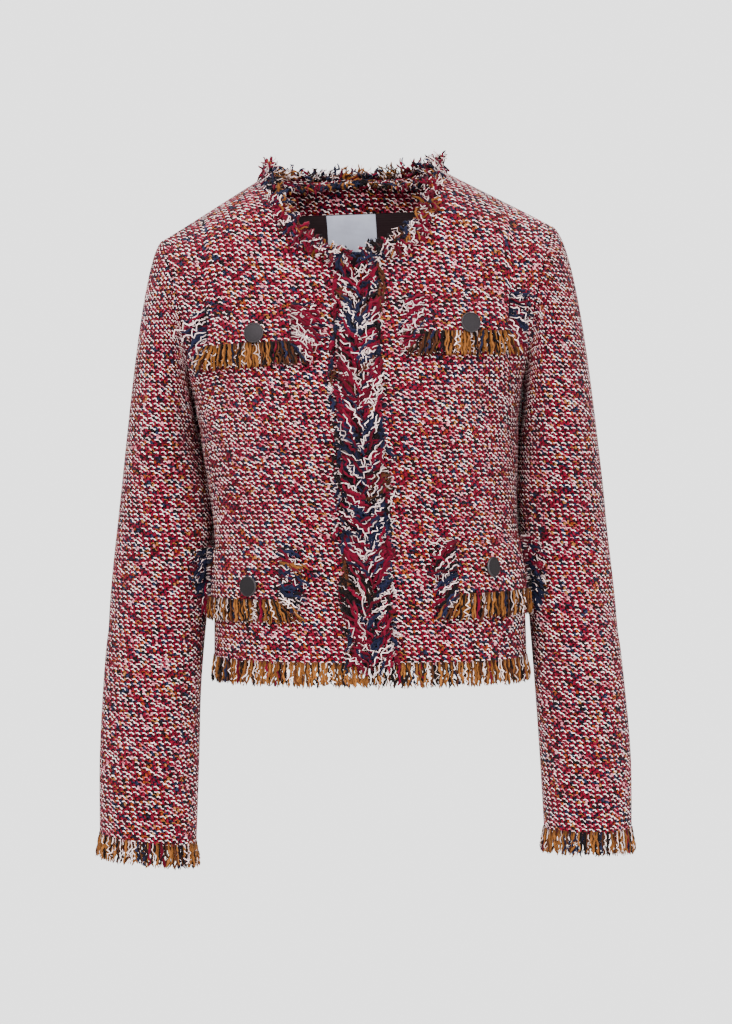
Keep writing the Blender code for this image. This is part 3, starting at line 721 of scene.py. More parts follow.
@dataclass(frozen=True)
class Tweed(Finish):
    """Bouclé tweed: thin pale floats step over thick crimson ends, like a plain weave.

    A float is a short bar with a hooked end. Floats of one column are two picks apart, and the
    columns on both sides are a pick further on. Every other column is mostly pale and the ones
    between are mostly dark. An end shows as an upright blob between two floats of its column.
    The columns lean, since each row drifts a little. Where the yarns sink, in the gaps between
    floats and ends, the colour is darkened to near black as painted shade.
    """

    repeat: float = 0.0070
    pick: float = 0.00240
    drift: float = 0.213
    wander: float = 0.0022
    pale: tuple = ((0.0, CREAM), (0.62, (0.78, 0.40, 0.41)), (0.78, PINK), (0.86, OCHRE),
                   (0.90, CRIMSON), (0.95, NAVY))
    dark: tuple = ((0.0, CRIMSON), (0.30, DARK_RED), (0.42, BLACK), (0.56, NAVY), (0.70, PINK),
                   (0.82, CREAM), (0.90, OCHRE), (0.94, RUST))
    ends: tuple = ((0.0, CRIMSON), (0.58, DARK_RED), (0.66, BLACK), (0.73, NAVY), (0.81, RUST),
                   (0.90, OCHRE), (0.93, PINK), (0.96, CRIMSON))

    def dress(self, graph: Graph) -> None:
        """Place floats and ends, colour them one by one and raise them as a bump."""
        uv = graph.node("UVMap", {"uv_map": "cloth"})
        split = graph.node("SeparateXYZ", None, Vector=uv.outputs[0])
        wobble = graph.node("TexNoise", None, Vector=uv.outputs[0], Scale=200.0, Detail=1.5)
        shifts = graph.node("SeparateColor", None, Color=wobble.outputs[1])
        run = Value(graph, split.outputs[0]) \
            + (Value(graph, shifts.outputs[0]) - 0.5) * (self.wander * 1.5)
        rise = Value(graph, split.outputs[1]) + (Value(graph, shifts.outputs[1]) - 0.5) * self.wander
        along = (run + rise * self.drift) / self.repeat
        up = rise / self.pick
        pale_height, pale_yarn, tone = self.floats(graph, along, up, 0, self.pale)
        dark_height, dark_yarn, _ = self.floats(graph, along, up, 1, self.dark)

        strip = (along * 2 + 0.5).floor()
        x_end = along * 2 - strip
        odd = strip - (strip / 2).floor() * 2
        turn = (up + odd - 1) / 2
        knot = (turn + 0.5).floor()
        y_end = turn - knot
        end_roll, size_roll, end_tone = self.dice(graph, strip, knot, 7.5)
        wide = x_end / (0.32 + size_roll * 0.12)
        tall = y_end / (0.36 + size_roll * 0.08)
        end_height = 1.06 - wide * wide - tall * tall * tall * tall

        fuzz = graph.node("TexNoise", None, Vector=uv.outputs[0], Scale=1700.0, Detail=2.0)
        wool = Value(graph, fuzz.outputs[0])
        frayed = (wool - 0.5) * 0.9
        height = (pale_height.highest(dark_height).highest(end_height) + frayed).highest(-0.5)
        on_top = graph.step(pale_height - dark_height.highest(end_height) + frayed * 0.5,
                            -0.06, 0.06)
        dark_top = graph.step(dark_height - end_height, -0.06, 0.06)
        end_yarn = graph.node("ValToRGB", {"stops": list(self.ends)}, Fac=end_roll)
        yarn = graph.mix(on_top, graph.mix(dark_top, end_yarn.outputs[0], dark_yarn), pale_yarn)
        # painted shade: the colour falls to near black where the height is low, in the gaps between
        # floats and ends
        shade = graph.step(height, 0.05, 0.80) * 0.99 + 0.01
        broad = graph.node("TexNoise", None, Vector=uv.outputs[0], Scale=14.0, Detail=2.0)
        light = wool * 0.5 + Value(graph, broad.outputs[0]) * 0.4 + tone * 0.25 + end_tone * 0.25
        colour = graph.tint(yarn, shade * (light + 0.30))
        bump = graph.node("Bump", None, Strength=0.9, Distance=0.0011,
                          Height=height.highest(0.0) + wool * 0.3)
        shader = graph.node("BsdfPrincipled", None, Base_Color=colour, Roughness=0.92,
                            Normal=bump.outputs[0])
        shader.inputs["Sheen Weight"].default_value = 0.02
        shader.inputs["Sheen Roughness"].default_value = 0.5
        shader.inputs["Specular IOR Level"].default_value = 0.05
        graph.output(shader)

    def floats(self, graph: Graph, along: Value, up: Value, number: int,
               stops: tuple) -> tuple[Value, bpy.types.NodeSocket, Value]:
        """Every other column of floats.

        Args:
            graph: the material's nodes.
            along: place across the columns, in repeats.
            up: place up the cloth, in picks.
            number: 0 or 1, which set of columns.
            stops: its yarns, as (share where it starts, colour).

        Returns:
            Height, the yarn's colour and a number of each float's own.
        """
        raised = up + float(number)
        row = (raised / 2).floor()
        y = raised - row * 2 - 1
        place = along + 0.5 * number
        column = place.floor()
        x = place - column - 0.5
        roll, reach_roll, tone = self.dice(graph, column, row, 0.5 + 3 * number)
        hook = graph.step(x, 0.02, 0.26)
        middle = y - 0.30 + hook * (0.45 + reach_roll * 0.75) - x * 0.3
        across = abs(middle) / (0.25 + hook * 0.19)
        over = (abs(x) - (0.19 + reach_roll * 0.14)).highest(0.0) * 9.0
        yarn = graph.node("ValToRGB", {"stops": list(stops)}, Fac=roll)
        return 1 - across * across - over * over, yarn.outputs[0], tone

    @staticmethod
    def dice(graph: Graph, column: Value, row: Value, layer: float) -> list[Value]:
        """Three numbers from 0 to 1 that are the same all over one cell."""
        cell = graph.node("CombineXYZ", None, X=column, Y=row, Z=layer)
        thrown = graph.node("TexWhiteNoise", {"noise_dimensions": "3D"}, Vector=cell.outputs[0])
        rolls = graph.node("SeparateColor", None, Color=thrown.outputs[1])
        return [Value(graph, socket) for socket in rolls.outputs]


@dataclass(frozen=True)
class LooseYarn(Finish):
    """Yarn ends in the colour of the attribute "yarn", which holds painted shade at their roots, with
    a woolly surface.
    """

    def dress(self, graph: Graph) -> None:
        """Mottle the yarn's colour and roughen it with a bump."""
        yarn = graph.node("VertexColor", {"layer_name": "yarn"})
        place = graph.node("TexCoord")
        fuzz = graph.node("TexNoise", None, Vector=place.outputs["Object"], Scale=1500.0,
                          Detail=3.0)
        wool = Value(graph, fuzz.outputs[0])
        colour = graph.tint(yarn.outputs[0], wool * 1.1 + 0.45)
        bump = graph.node("Bump", None, Strength=0.8, Distance=0.0007, Height=wool)
        shader = graph.node("BsdfPrincipled", None, Base_Color=colour, Roughness=0.95,
                            Normal=bump.outputs[0])
        shader.inputs["Sheen Weight"].default_value = 0.03
        shader.inputs["Specular IOR Level"].default_value = 0.05
        graph.output(shader)


@dataclass(frozen=True)
class Satin(Finish):
    """A fine satin lining or label cloth: close ribs across, and a soft gloss."""

    colour: Colour
    rough: float
    ribs: float = 2600.0

    def dress(self, graph: Graph) -> None:
        """Rib the surface and vary its colour a little."""
        uv = graph.node("UVMap", {"uv_map": "cloth"})
        split = graph.node("SeparateXYZ", None, Vector=uv.outputs[0])
        ribs = graph.math("SINE", Value(graph, split.outputs[1]) * self.ribs)
        broad = graph.node("TexNoise", None, Vector=uv.outputs[0], Scale=60.0, Detail=3.0)
        cloud = Value(graph, broad.outputs[0])
        base = graph.node("RGB")
        base.outputs[0].default_value = (*self.colour, 1.0)
        colour = graph.tint(base.outputs[0], cloud * 0.5 + 0.75 + ribs * 0.05)
        bump = graph.node("Bump", None, Strength=0.5, Distance=0.0002, Height=ribs * 0.4 + cloud)
        shader = graph.node("BsdfPrincipled", None, Base_Color=colour,
                            Roughness=cloud * 0.2 + self.rough, Normal=bump.outputs[0])
        shader.inputs["Specular IOR Level"].default_value = 0.2
        graph.output(shader)


@dataclass(frozen=True)
class Gunmetal(Finish):
    """Dark plated metal, brushed in rings and rubbed lighter on its rim."""

    def dress(self, graph: Graph) -> None:
        """Ring the face with fine lines and mottle its roughness."""
        uv = graph.node("UVMap", {"uv_map": "cloth"})
        split = graph.node("SeparateXYZ", None, Vector=uv.outputs[0])
        radius = Value(graph, split.outputs[0])
        rings = graph.math("SINE", radius * 14000.0)
        place = graph.node("TexCoord")
        grain = graph.node("TexNoise", None, Vector=place.outputs["Object"], Scale=700.0,
                           Detail=4.0)
        mottle = Value(graph, grain.outputs[0])
        worn = graph.step(radius, 0.0086, 0.0098)
        colour = graph.mix(worn * 0.6 + mottle * 0.15, (0.0110, 0.0095, 0.0105, 1.0),
                           (0.060, 0.054, 0.056, 1.0))
        bump = graph.node("Bump", None, Strength=0.12, Distance=0.0002, Height=rings * 0.2 + mottle)
        shader = graph.node("BsdfPrincipled", None, Base_Color=colour, Metallic=0.85,
                            Roughness=mottle * 0.25 + 0.38, Normal=bump.outputs[0])
        shader.inputs["Specular IOR Level"].default_value = 0.1
        graph.output(shader)


@dataclass(frozen=True)
class Plain(Finish):
    """A pale studio surface with a faint mottle."""

    colour: Colour

    def dress(self, graph: Graph) -> None:
        """Vary the colour very little."""
        place = graph.node("TexCoord")
        grain = graph.node("TexNoise", None, Vector=place.outputs["Object"], Scale=40.0)
        base = graph.node("RGB")
        base.outputs[0].default_value = (*self.colour, 1.0)
        colour = graph.tint(base.outputs[0], Value(graph, grain.outputs[0]) * 0.04 + 0.98)
        graph.output(graph.node("BsdfPrincipled", None, Base_Color=colour, Roughness=0.8))


TWEED_CLOTH = Tweed("tweed_cloth")
YARN_ENDS = LooseYarn("yarn_ends")
LINING = Satin("lining_satin", (0.0080, 0.0016, 0.0026), 0.42)
LABEL = Satin("label_satin", (0.36, 0.37, 0.45), 0.45, 5200.0)
METAL = Gunmetal("gunmetal_plate")


# ------------------------------------------------------------------------------ yarn ends
@dataclass(frozen=True)
class Yarn:
    """A kind of yarn: colour, thickness, crimp when free, waves of it, slub and woolliness."""

    colour: Colour
    radius: float
    crimp: float
    waves: float
    slub: float
    wool: float


class Yarns(Enum):
    """The yarns that the tweed is woven from."""

    CRIMSON = Yarn((0.072, 0.0006, 0.0080), 0.00130, 0.0012, 1.7, 0.32, 0.32)
    NAVY = Yarn((0.0050, 0.0062, 0.019), 0.00115, 0.0013, 2.0, 0.32, 0.34)
    CREAM = Yarn((0.720, 0.540, 0.520), 0.00046, 0.0020, 3.0, 0.25, 0.12)
    OCHRE = Yarn((0.135, 0.047, 0.010), 0.00105, 0.0009, 1.5, 0.25, 0.30)
    # BLACK: partly the tweed's own black yarn and partly painted shade, since black ends stand for
    # the dark gaps between ends
    BLACK = Yarn((0.0040, 0.0022, 0.0024), 0.00095, 0.0011, 1.8, 0.25, 0.32)
    BROWN = Yarn((0.040, 0.012, 0.0045), 0.00095, 0.0010, 1.5, 0.25, 0.30)


class Blend(Enum):
    """Shares of the yarns in a frayed edge, in the order of Yarns."""

    # the large BLACK shares are partly the tweed's own black yarn and partly painted shade: black
    # ends stand for the dark gaps between the ends
    WARP = (0.04, 0.03, 0.07, 0.42, 0.26, 0.18)
    WEFT = (0.38, 0.24, 0.12, 0.01, 0.24, 0.01)
    NECK = (0.22, 0.17, 0.15, 0.18, 0.20, 0.08)
    SIDE = (0.30, 0.26, 0.20, 0.02, 0.20, 0.02)
    TOP = (0.18, 0.12, 0.66, 0.00, 0.04, 0.00)
    TOP_HEM = (0.03, 0.02, 0.30, 0.35, 0.18, 0.12)


# Rows of hanging ends: depth in the cloth, share of the pitch and blend.
HANGING_LAYERS = ((0.0002, 1.15, Blend.TOP_HEM), (0.0010, 1.0, Blend.WARP),
                  (0.0024, 1.0, Blend.WARP))


def tube_faces(points: int, sides: int) -> Array:
    """Point indices of a tube's quads, with a fan of quads round each end's own point.

    Args:
        points: rings along the tube.
        sides: points round it, an even number.

    Returns:
        Faces by 4. The two ends' points come after all the rings.
    """
    ring = np.arange(sides)
    nxt = np.roll(ring, -1)
    base = (np.arange(points - 1) * sides)[:, None]
    body = np.stack([base + ring, base + nxt, base + sides + nxt, base + sides + ring], axis=2)
    foot, last, even = points * sides, (points - 1) * sides, ring[::2]
    after, beyond = even + 1, (even + 2) % sides
    start = np.stack([np.full(len(even), foot), beyond, after, even], 1)
    end = np.stack([np.full(len(even), foot + 1), last + even, last + after, last + beyond], 1)
    return np.concatenate([body.reshape(-1, 4), start, end])


@dataclass
class FrayedEdge:
    """A batch of yarn tubes that follow paths worked out from their roots.

    A tube's middle line is its path plus a crimp: two sine waves at right angles and a slow
    bend, whose size grows from the root. Its radius swells by a slub wave and tapers at the tip.
    """

    name: str
    seed: int
    points: int = 11
    sides: int = 6
    paths: list[Array] = field(default_factory=list)
    facing: list[Array] = field(default_factory=list)
    kinds: list[Array] = field(default_factory=list)

    def __post_init__(self) -> None:
        """Seed the dice that pick yarns and lengths."""
        self.dice = np.random.default_rng(self.seed)

    @property
    def steps(self) -> Array:
        """Shares along a tube, one for each of its points."""
        return np.linspace(0.0, 1.0, self.points)

    def clumps(self, count: int, size: float) -> Array:
        """Clump number of each tube in a row of them, with about size tubes to a clump."""
        return np.cumsum(self.dice.random(count) < 1 / size)

    def spread(self, clump: Array, width: float, own: float = 0.3) -> Array:
        """A number for each tube: its clump's, plus own times one of its own."""
        return (self.dice.normal(0, width, clump[-1] + 1)[clump]
                + self.dice.normal(0, width * own, len(clump)))

    def add(self, paths: Array, facing: Array, blend: Blend, clump: Array | None = None) -> None:
        """Keep tubes with these middle lines, facing this way at their roots.

        Args:
            paths: tubes by points by 3.
            facing: tubes by 3.
            blend: shares of the yarns.
            clump: clump number of each tube. All through a clump the yarn is the same, but for
                the thin pale ones, which come singly.
        """
        count = len(paths)
        clump = np.arange(count) if clump is None else clump
        shares = np.array(blend.value)
        thin = list(Yarns).index(Yarns.CREAM)
        pale = self.dice.random(count) < shares[thin]
        shares[thin] = 0.0
        drawn = self.dice.choice(len(Yarns), clump[-1] + 1, p=shares / shares.sum())[clump]
        self.paths.append(paths)
        self.facing.append(facing)
        self.kinds.append(np.where(pale, thin, drawn))

    def hang(self, roots: Array, start: Array, finish: Array, length: Array,
             facing: Array, blend: Blend, clump: Array | None = None) -> None:
        """Free ends that leave along start and turn towards finish.

        A point at share t is root + length (start (t - t^2 / 2) + finish t^2 / 2).

        Args:
            roots: tubes by 3.
            start: direction at the root.
            finish: direction that gravity or the nap turns them to.
            length: of each tube.
            facing: outward direction of the cloth at the root.
            blend: shares of the yarns.
            clump: clump number of each tube.
        """
        t = self.steps[None, :, None]
        lead = unit(start)[:, None] * (t - t * t / 2) + unit(finish)[:, None] * (t * t / 2)
        self.add(roots[:, None] + lead * length[:, None, None] * 1.1, facing, blend, clump)

    def hang_row(self, roots: Array, normals: Array, length: float, blend: Blend) -> None:
        """A row of ends that hang from a level edge and lean out a little.

        Args:
            roots: places on the edge.
            normals: of the cloth there.
            length: of the longest end.
            blend: shares of the yarns.
        """
        count = len(roots)
        out = unit(normals * [1, 1, 0])
        along = np.cross(out, [0, 0, 1])
        clump = self.clumps(count, 2.2)
        lean = (self.spread(clump, 0.13, 0.8)[:, None]) * along
        down = np.array([0.0, 0.0, -1.0])
        start = down + out * 0.15 - lean * 0.6 + out * self.spread(clump, 0.05)[:, None]
        size = length * self.dice.uniform(0.86, 1.04, count) / 1.12
        self.hang(roots + [0, 0, 0.0024], start, down + out * 0.10 + lean * 1.6, size, out, blend,
                  clump if blend is Blend.WARP else None)

    def hang_layers(self, line: Array, normals: Array, pitch: float, length: float) -> None:
        """Three rows of ends that hang from a level edge, one behind the other.

        Args:
            line: the edge.
            normals: of the cloth there.
            pitch: distance between ends.
            length: of the longest end.
        """
        for depth, stretch, blend in HANGING_LAYERS:
            roots, out = spaced_points(line, normals, pitch * stretch, self.dice)
            self.hang_row(roots - unit(out * [1, 1, 0]) * depth, out, length, blend)

    def build(self) -> bpy.types.Object:
        """Make all the tubes as one mesh.

        Returns:
            The object, dressed in YARN_ENDS.
        """
        paths, facing = np.concatenate(self.paths), np.concatenate(self.facing)
        count = len(paths)
        kinds = [yarn.value for yarn in Yarns]
        which = np.concatenate(self.kinds)
        radius, crimp, waves, slub, wool = (
            np.array([getattr(kinds[i], name) for i in which])[:, None]
            for name in ("radius", "crimp", "waves", "slub", "wool"))
        t = self.steps
        side, out = self.frames(paths, facing)
        grow = smoothstep(0.0, 0.45, t)[None, :] * self.dice.uniform(0.5, 1.3, (count, 1))
        phase = self.dice.uniform(0, 2 * math.pi, (4, count, 1))
        beat = 2 * math.pi * waves * t * self.dice.uniform(0.7, 1.3, (count, 1))
        bend = self.dice.normal(0, 1.0, (count, 1)) * (t * t)[None, :]
        swing = crimp * grow * (np.sin(beat + phase[0]) + 0.5 * np.sin(beat * 1.9 + phase[3])
                                + bend)
        lift = crimp * grow * np.cos(beat * 0.8 + phase[1]) * 0.7
        middle = paths + side * swing[..., None] + out * lift[..., None]
        side, out = self.frames(middle, facing)
        swell = 1 + slub * np.sin(beat * 2.3 + phase[2])
        taper = 1 - 0.65 * smoothstep(0.86, 1.0, t)
        girth = radius * self.dice.uniform(0.7, 1.2, (count, 1)) * swell * taper
        rough = self.dice.uniform(-1, 1, (count, self.points, self.sides)) * wool[..., None]
        turn = np.arange(self.sides) * 2 * math.pi / self.sides
        spoke = (side[:, :, None] * np.cos(turn)[None, None, :, None]
                 + out[:, :, None] * np.sin(turn)[None, None, :, None])
        rings = middle[:, :, None] + spoke * (girth[:, :, None] * (1 + rough))[..., None]
        caps = np.stack([middle[:, 0], middle[:, -1]], axis=1)
        points = np.concatenate([rings.reshape(count, -1, 3), caps], axis=1)

        colour = np.array([kinds[i].colour for i in which])
        colour = colour * self.dice.uniform(0.55, 1.25, (count, 1))
        # painted shade: each tube's colour is darkened to 45 % at its root, where it meets the cloth
        # among the other ends
        shade = (0.45 + 0.55 * smoothstep(0.0, 0.25, t))[None, :, None]
        tones = colour[:, None] * shade * self.dice.uniform(0.8, 1.2, (count, self.points, 1))
        tones = np.repeat(tones, self.sides, axis=1)
        tones = np.concatenate([tones, tones[:, :1], tones[:, -1:]], axis=1)
        faces = tube_faces(self.points, self.sides)
        every = faces[None] + (np.arange(count) * points.shape[1])[:, None, None]
        made = new_mesh(self.name, points.reshape(-1, 3), every.reshape(-1, 4),
                        colours=tones.reshape(-1, 3))
        made.data.materials.append(YARN_ENDS.material())
        return made

    @staticmethod
    def frames(paths: Array, facing: Array) -> tuple[Array, Array]:
        """Sideways and outward directions along each path."""
        tangent = unit(np.gradient(paths, axis=1))
        side = unit(np.cross(tangent, facing[:, None]))
        return side, np.cross(side, tangent)


def spaced_points(points: Array, values: Array, pitch: float, dice: np.random.Generator,
                  jitter: float = 0.35) -> tuple[Array, Array]:
    """Places about a pitch apart along a line, and values carried with it.

    Args:
        points: the line.
        values: an array for each point of the line.
        pitch: distance between places.
        dice: for the jitter.
        jitter: share of the pitch by which a place may stray.

    Returns:
        The places, and the values there.
    """
    run = np.concatenate([[0], np.cumsum(np.linalg.norm(np.diff(points, axis=0), axis=1))])
    count = max(2, int(run[-1] / pitch))
    at = (np.arange(count) + 0.5 + dice.uniform(-jitter, jitter, count)) * run[-1] / count

    def read(array: Array) -> Array:
        """The array's columns at those places."""
        return np.stack([np.interp(at, run, array[:, k]) for k in range(array.shape[1])], axis=1)

    return read(points), read(values)


# ------------------------------------------------------------------------------ body
@dataclass
class Body:
    """The two fronts and the back, with their hems and the frayed edges of the fronts."""

    form: BodyForm = field(default_factory=BodyForm)
    row_step: float = 0.16
    columns: int = 64
    hem_fray: float = 0.0255
    edge_root: float = 0.0185
    edge_low: float = -0.480
    edge_height: float = 0.392
    edge_end: float = -0.4925
    fray_pitch: float = 0.0026

    def __post_init__(self) -> None:
        """Work out the four half panels."""
        self.fronts = {side: BodyPanel(self.form, Half.FRONT, side) for side in Side}
        self.backs = {side: BodyPanel(self.form, Half.BACK, side) for side in Side}

    def rows(self, low: float, high: float) -> Array:
        """Rows between two places, a row step apart."""
        return np.linspace(low, high, max(2, round((high - low) / self.row_step) + 1))

    def build(self) -> None:
        """Make the cloth and its frayed edges."""
        shares = np.linspace(0.0, 1.0, self.columns)
        all_rows = np.concatenate([self.rows(0, PIT)[:-1], self.rows(PIT, TOP)])
        for side, panel in self.fronts.items():
            front = shell(f"front_{side.word}_cloth", panel.sheet(all_rows, shares), TWEED,
                          TWEED_CLOTH, LINING)
            settle(front, "tweed", f"front_{side.word}")
            hem = self.hem(f"hem_fringe_{side.word}_yarn", [panel], 11 + side.value)
            settle(hem, "warp_fray", f"hem_fringe_{side.word}")
            edge = self.front_edge(side, panel)
            settle(edge, "weft_fray", f"front_fringe_{side.word}")
        back_rows = np.concatenate([self.rows(0, NAPE)[:-1], self.rows(NAPE, TOP)])
        halves = [panel.sheet(back_rows, shares) for panel in self.backs.values()]
        back = shell("back_cloth", halves[0] + halves[1], TWEED, TWEED_CLOTH, LINING)
        settle(back, "tweed", "back")
        hem = self.hem("hem_fringe_back_yarn", list(self.backs.values()), 21)
        settle(hem, "warp_fray", "hem_fringe_back")

    def hem(self, name: str, panels: list[BodyPanel], seed: int) -> bpy.types.Object:
        """Yarn ends hanging from the hem, three rows deep.

        Args:
            name: the piece's name.
            panels: the half panels whose hem it is.
            seed: for its dice.

        Returns:
            The object.
        """
        edge = FrayedEdge(name, seed)
        for panel in panels:
            points, normals, _ = panel.grid(np.array([0.0, 0.1]), np.linspace(0.0, 1.0, 60))
            edge.hang_layers(points[0], normals[0], self.fray_pitch, self.hem_fray)
        return edge.build()

    def front_edge(self, side: Side, panel: BodyPanel) -> bpy.types.Object:
        """Yarn ends that run from a front's stitched line in to its edge and down.

        Each lies on the cloth: its place goes from the stitched line towards the middle while it
        falls, and its height over the cloth swells in the middle of its length.

        Args:
            side: which front.
            panel: its half panel.

        Returns:
            The object.
        """
        edge = FrayedEdge(f"front_fringe_{side.word}_yarn", 31 + side.value)
        t = edge.steps[None, :]
        layers = ((0.0016, 0.0015, 1.0, 4.0, Blend.WEFT), (0.0030, 0.0017, 1.0, 4.0, Blend.WEFT),
                  (0.0026, 0.0036, -0.45, 3.0, Blend.SIDE), (0.0050, 0.0046, 0.9, 1.6, Blend.TOP))
        for lift, pitch, inward, size, blend in layers:
            count = int(self.edge_height / pitch)
            clump = edge.clumps(count, size)
            jitter = edge.dice.uniform(0.1, 0.9, count)
            z_root = self.edge_low + (np.arange(count) + jitter) * pitch
            x_root = self.edge_root + edge.spread(clump, 0.0034)
            steep = np.exp(0.20 + edge.spread(clump, 0.62, 0.5))
            length = 0.0215 * np.exp(edge.spread(clump, 0.24, 0.9)) * (1.0 if inward > 0 else 0.5)
            share = 1 / np.hypot(1, steep)
            inner = -0.0035 if inward > 0 else 0.0
            run = np.minimum(length * share * inward, x_root - inner)
            x = x_root[:, None] - run[:, None] * (t * 1.35 - 0.35 * t * t)
            z = z_root[:, None] - (length * steep * share)[:, None] * (0.6 * t + 0.4 * t * t)
            z = np.maximum(z, self.edge_end)
            points, normals = panel.surface(x, np.maximum(z, LEVEL_ROWS[0]))
            points[..., 2] += np.minimum(z - LEVEL_ROWS[0], 0.0)
            height = lift + 0.0012 * np.sin(math.pi * t) \
                + edge.dice.uniform(-0.0006, 0.0010, count)[:, None]
            height = height * smoothstep(-0.15, 0.12, t)
            edge.add(points + normals * height[..., None], normals[:, 0], blend, clump)
        return edge.build()


# ------------------------------------------------------------------------------ sleeves
class Ring(NamedTuple):
    """A section of a sleeve."""

    z: float
    centre_x: float
    centre_y: float
    half_width: float
    half_depth: float
    tilt: float


SLEEVE_RINGS = {
    Side.RIGHT: (
        Ring(-0.280, -0.1896, 0.016, 0.0390, 0.0600, 0.000),
        Ring(-0.315, -0.1879, 0.020, 0.0447, 0.0580, 0.000),
        Ring(-0.355, -0.1884, 0.021, 0.0487, 0.0550, 0.001),
        Ring(-0.400, -0.1916, 0.018, 0.0500, 0.0515, 0.002),
        Ring(-0.450, -0.1961, 0.009, 0.0490, 0.0485, 0.003),
        Ring(-0.510, -0.2003, -0.001, 0.0488, 0.0460, 0.004),
        Ring(-0.580, -0.2025, -0.010, 0.0495, 0.0435, 0.006),
        Ring(-0.664, -0.2035, -0.017, 0.0480, 0.0415, 0.010),
    ),
    Side.LEFT: (
        Ring(-0.280, 0.2066, 0.016, 0.0405, 0.0600, 0.000),
        Ring(-0.315, 0.2077, 0.020, 0.0438, 0.0580, 0.000),
        Ring(-0.355, 0.2110, 0.023, 0.0445, 0.0530, 0.000),
        Ring(-0.400, 0.2171, 0.021, 0.0435, 0.0500, 0.000),
        Ring(-0.450, 0.2214, 0.013, 0.0441, 0.0480, 0.000),
        Ring(-0.510, 0.2263, -0.001, 0.0448, 0.0460, 0.001),
        Ring(-0.580, 0.2313, -0.010, 0.0453, 0.0435, 0.001),
        Ring(-0.654, 0.2335, -0.017, 0.0435, 0.0415, 0.000),
    ),
}
CAP_REACH = {Side.RIGHT: 0.018, Side.LEFT: 0.025}
SLEEVE_FOLDS = (
    Fold(0.0300, -0.270, 0.060, 0.012, 22, 0.0030),
    Fold(0.0240, -0.395, 0.045, 0.011, -35, 0.0026),
    Fold(0.0525, -0.330, 0.055, 0.012, 30, 0.0022),
    Fold(0.0900, -0.385, 0.050, 0.011, -48, 0.0022),
    Fold(0.0600, -0.430, 0.050, 0.010, 40, 0.0018),
    Fold(0.1200, -0.430, 0.045, 0.012, -30, 0.0016),
    Fold(0.0450, -0.510, 0.060, 0.012, 28, 0.0014),
    Fold(0.1000, -0.560, 0.060, 0.013, -24, 0.0014),
    Fold(0.0300, -0.600, 0.050, 0.010, -20, 0.0012),
    Fold(0.0800, -0.250, 0.060, 0.014, 12, -0.0012),
    Fold(0.1900, -0.300, 0.060, 0.013, -24, 0.0026),
    Fold(0.2200, -0.395, 0.055, 0.012, 34, 0.0026),
    Fold(0.1700, -0.440, 0.050, 0.012, 44, 0.0018),
    Fold(0.2400, -0.530, 0.060, 0.013, -30, 0.0016),
    Fold(0.2860, -0.262, 0.075, 0.014, 0, -0.0042),
    Fold(0.2880, -0.345, 0.050, 0.012, 0, -0.0025),
)


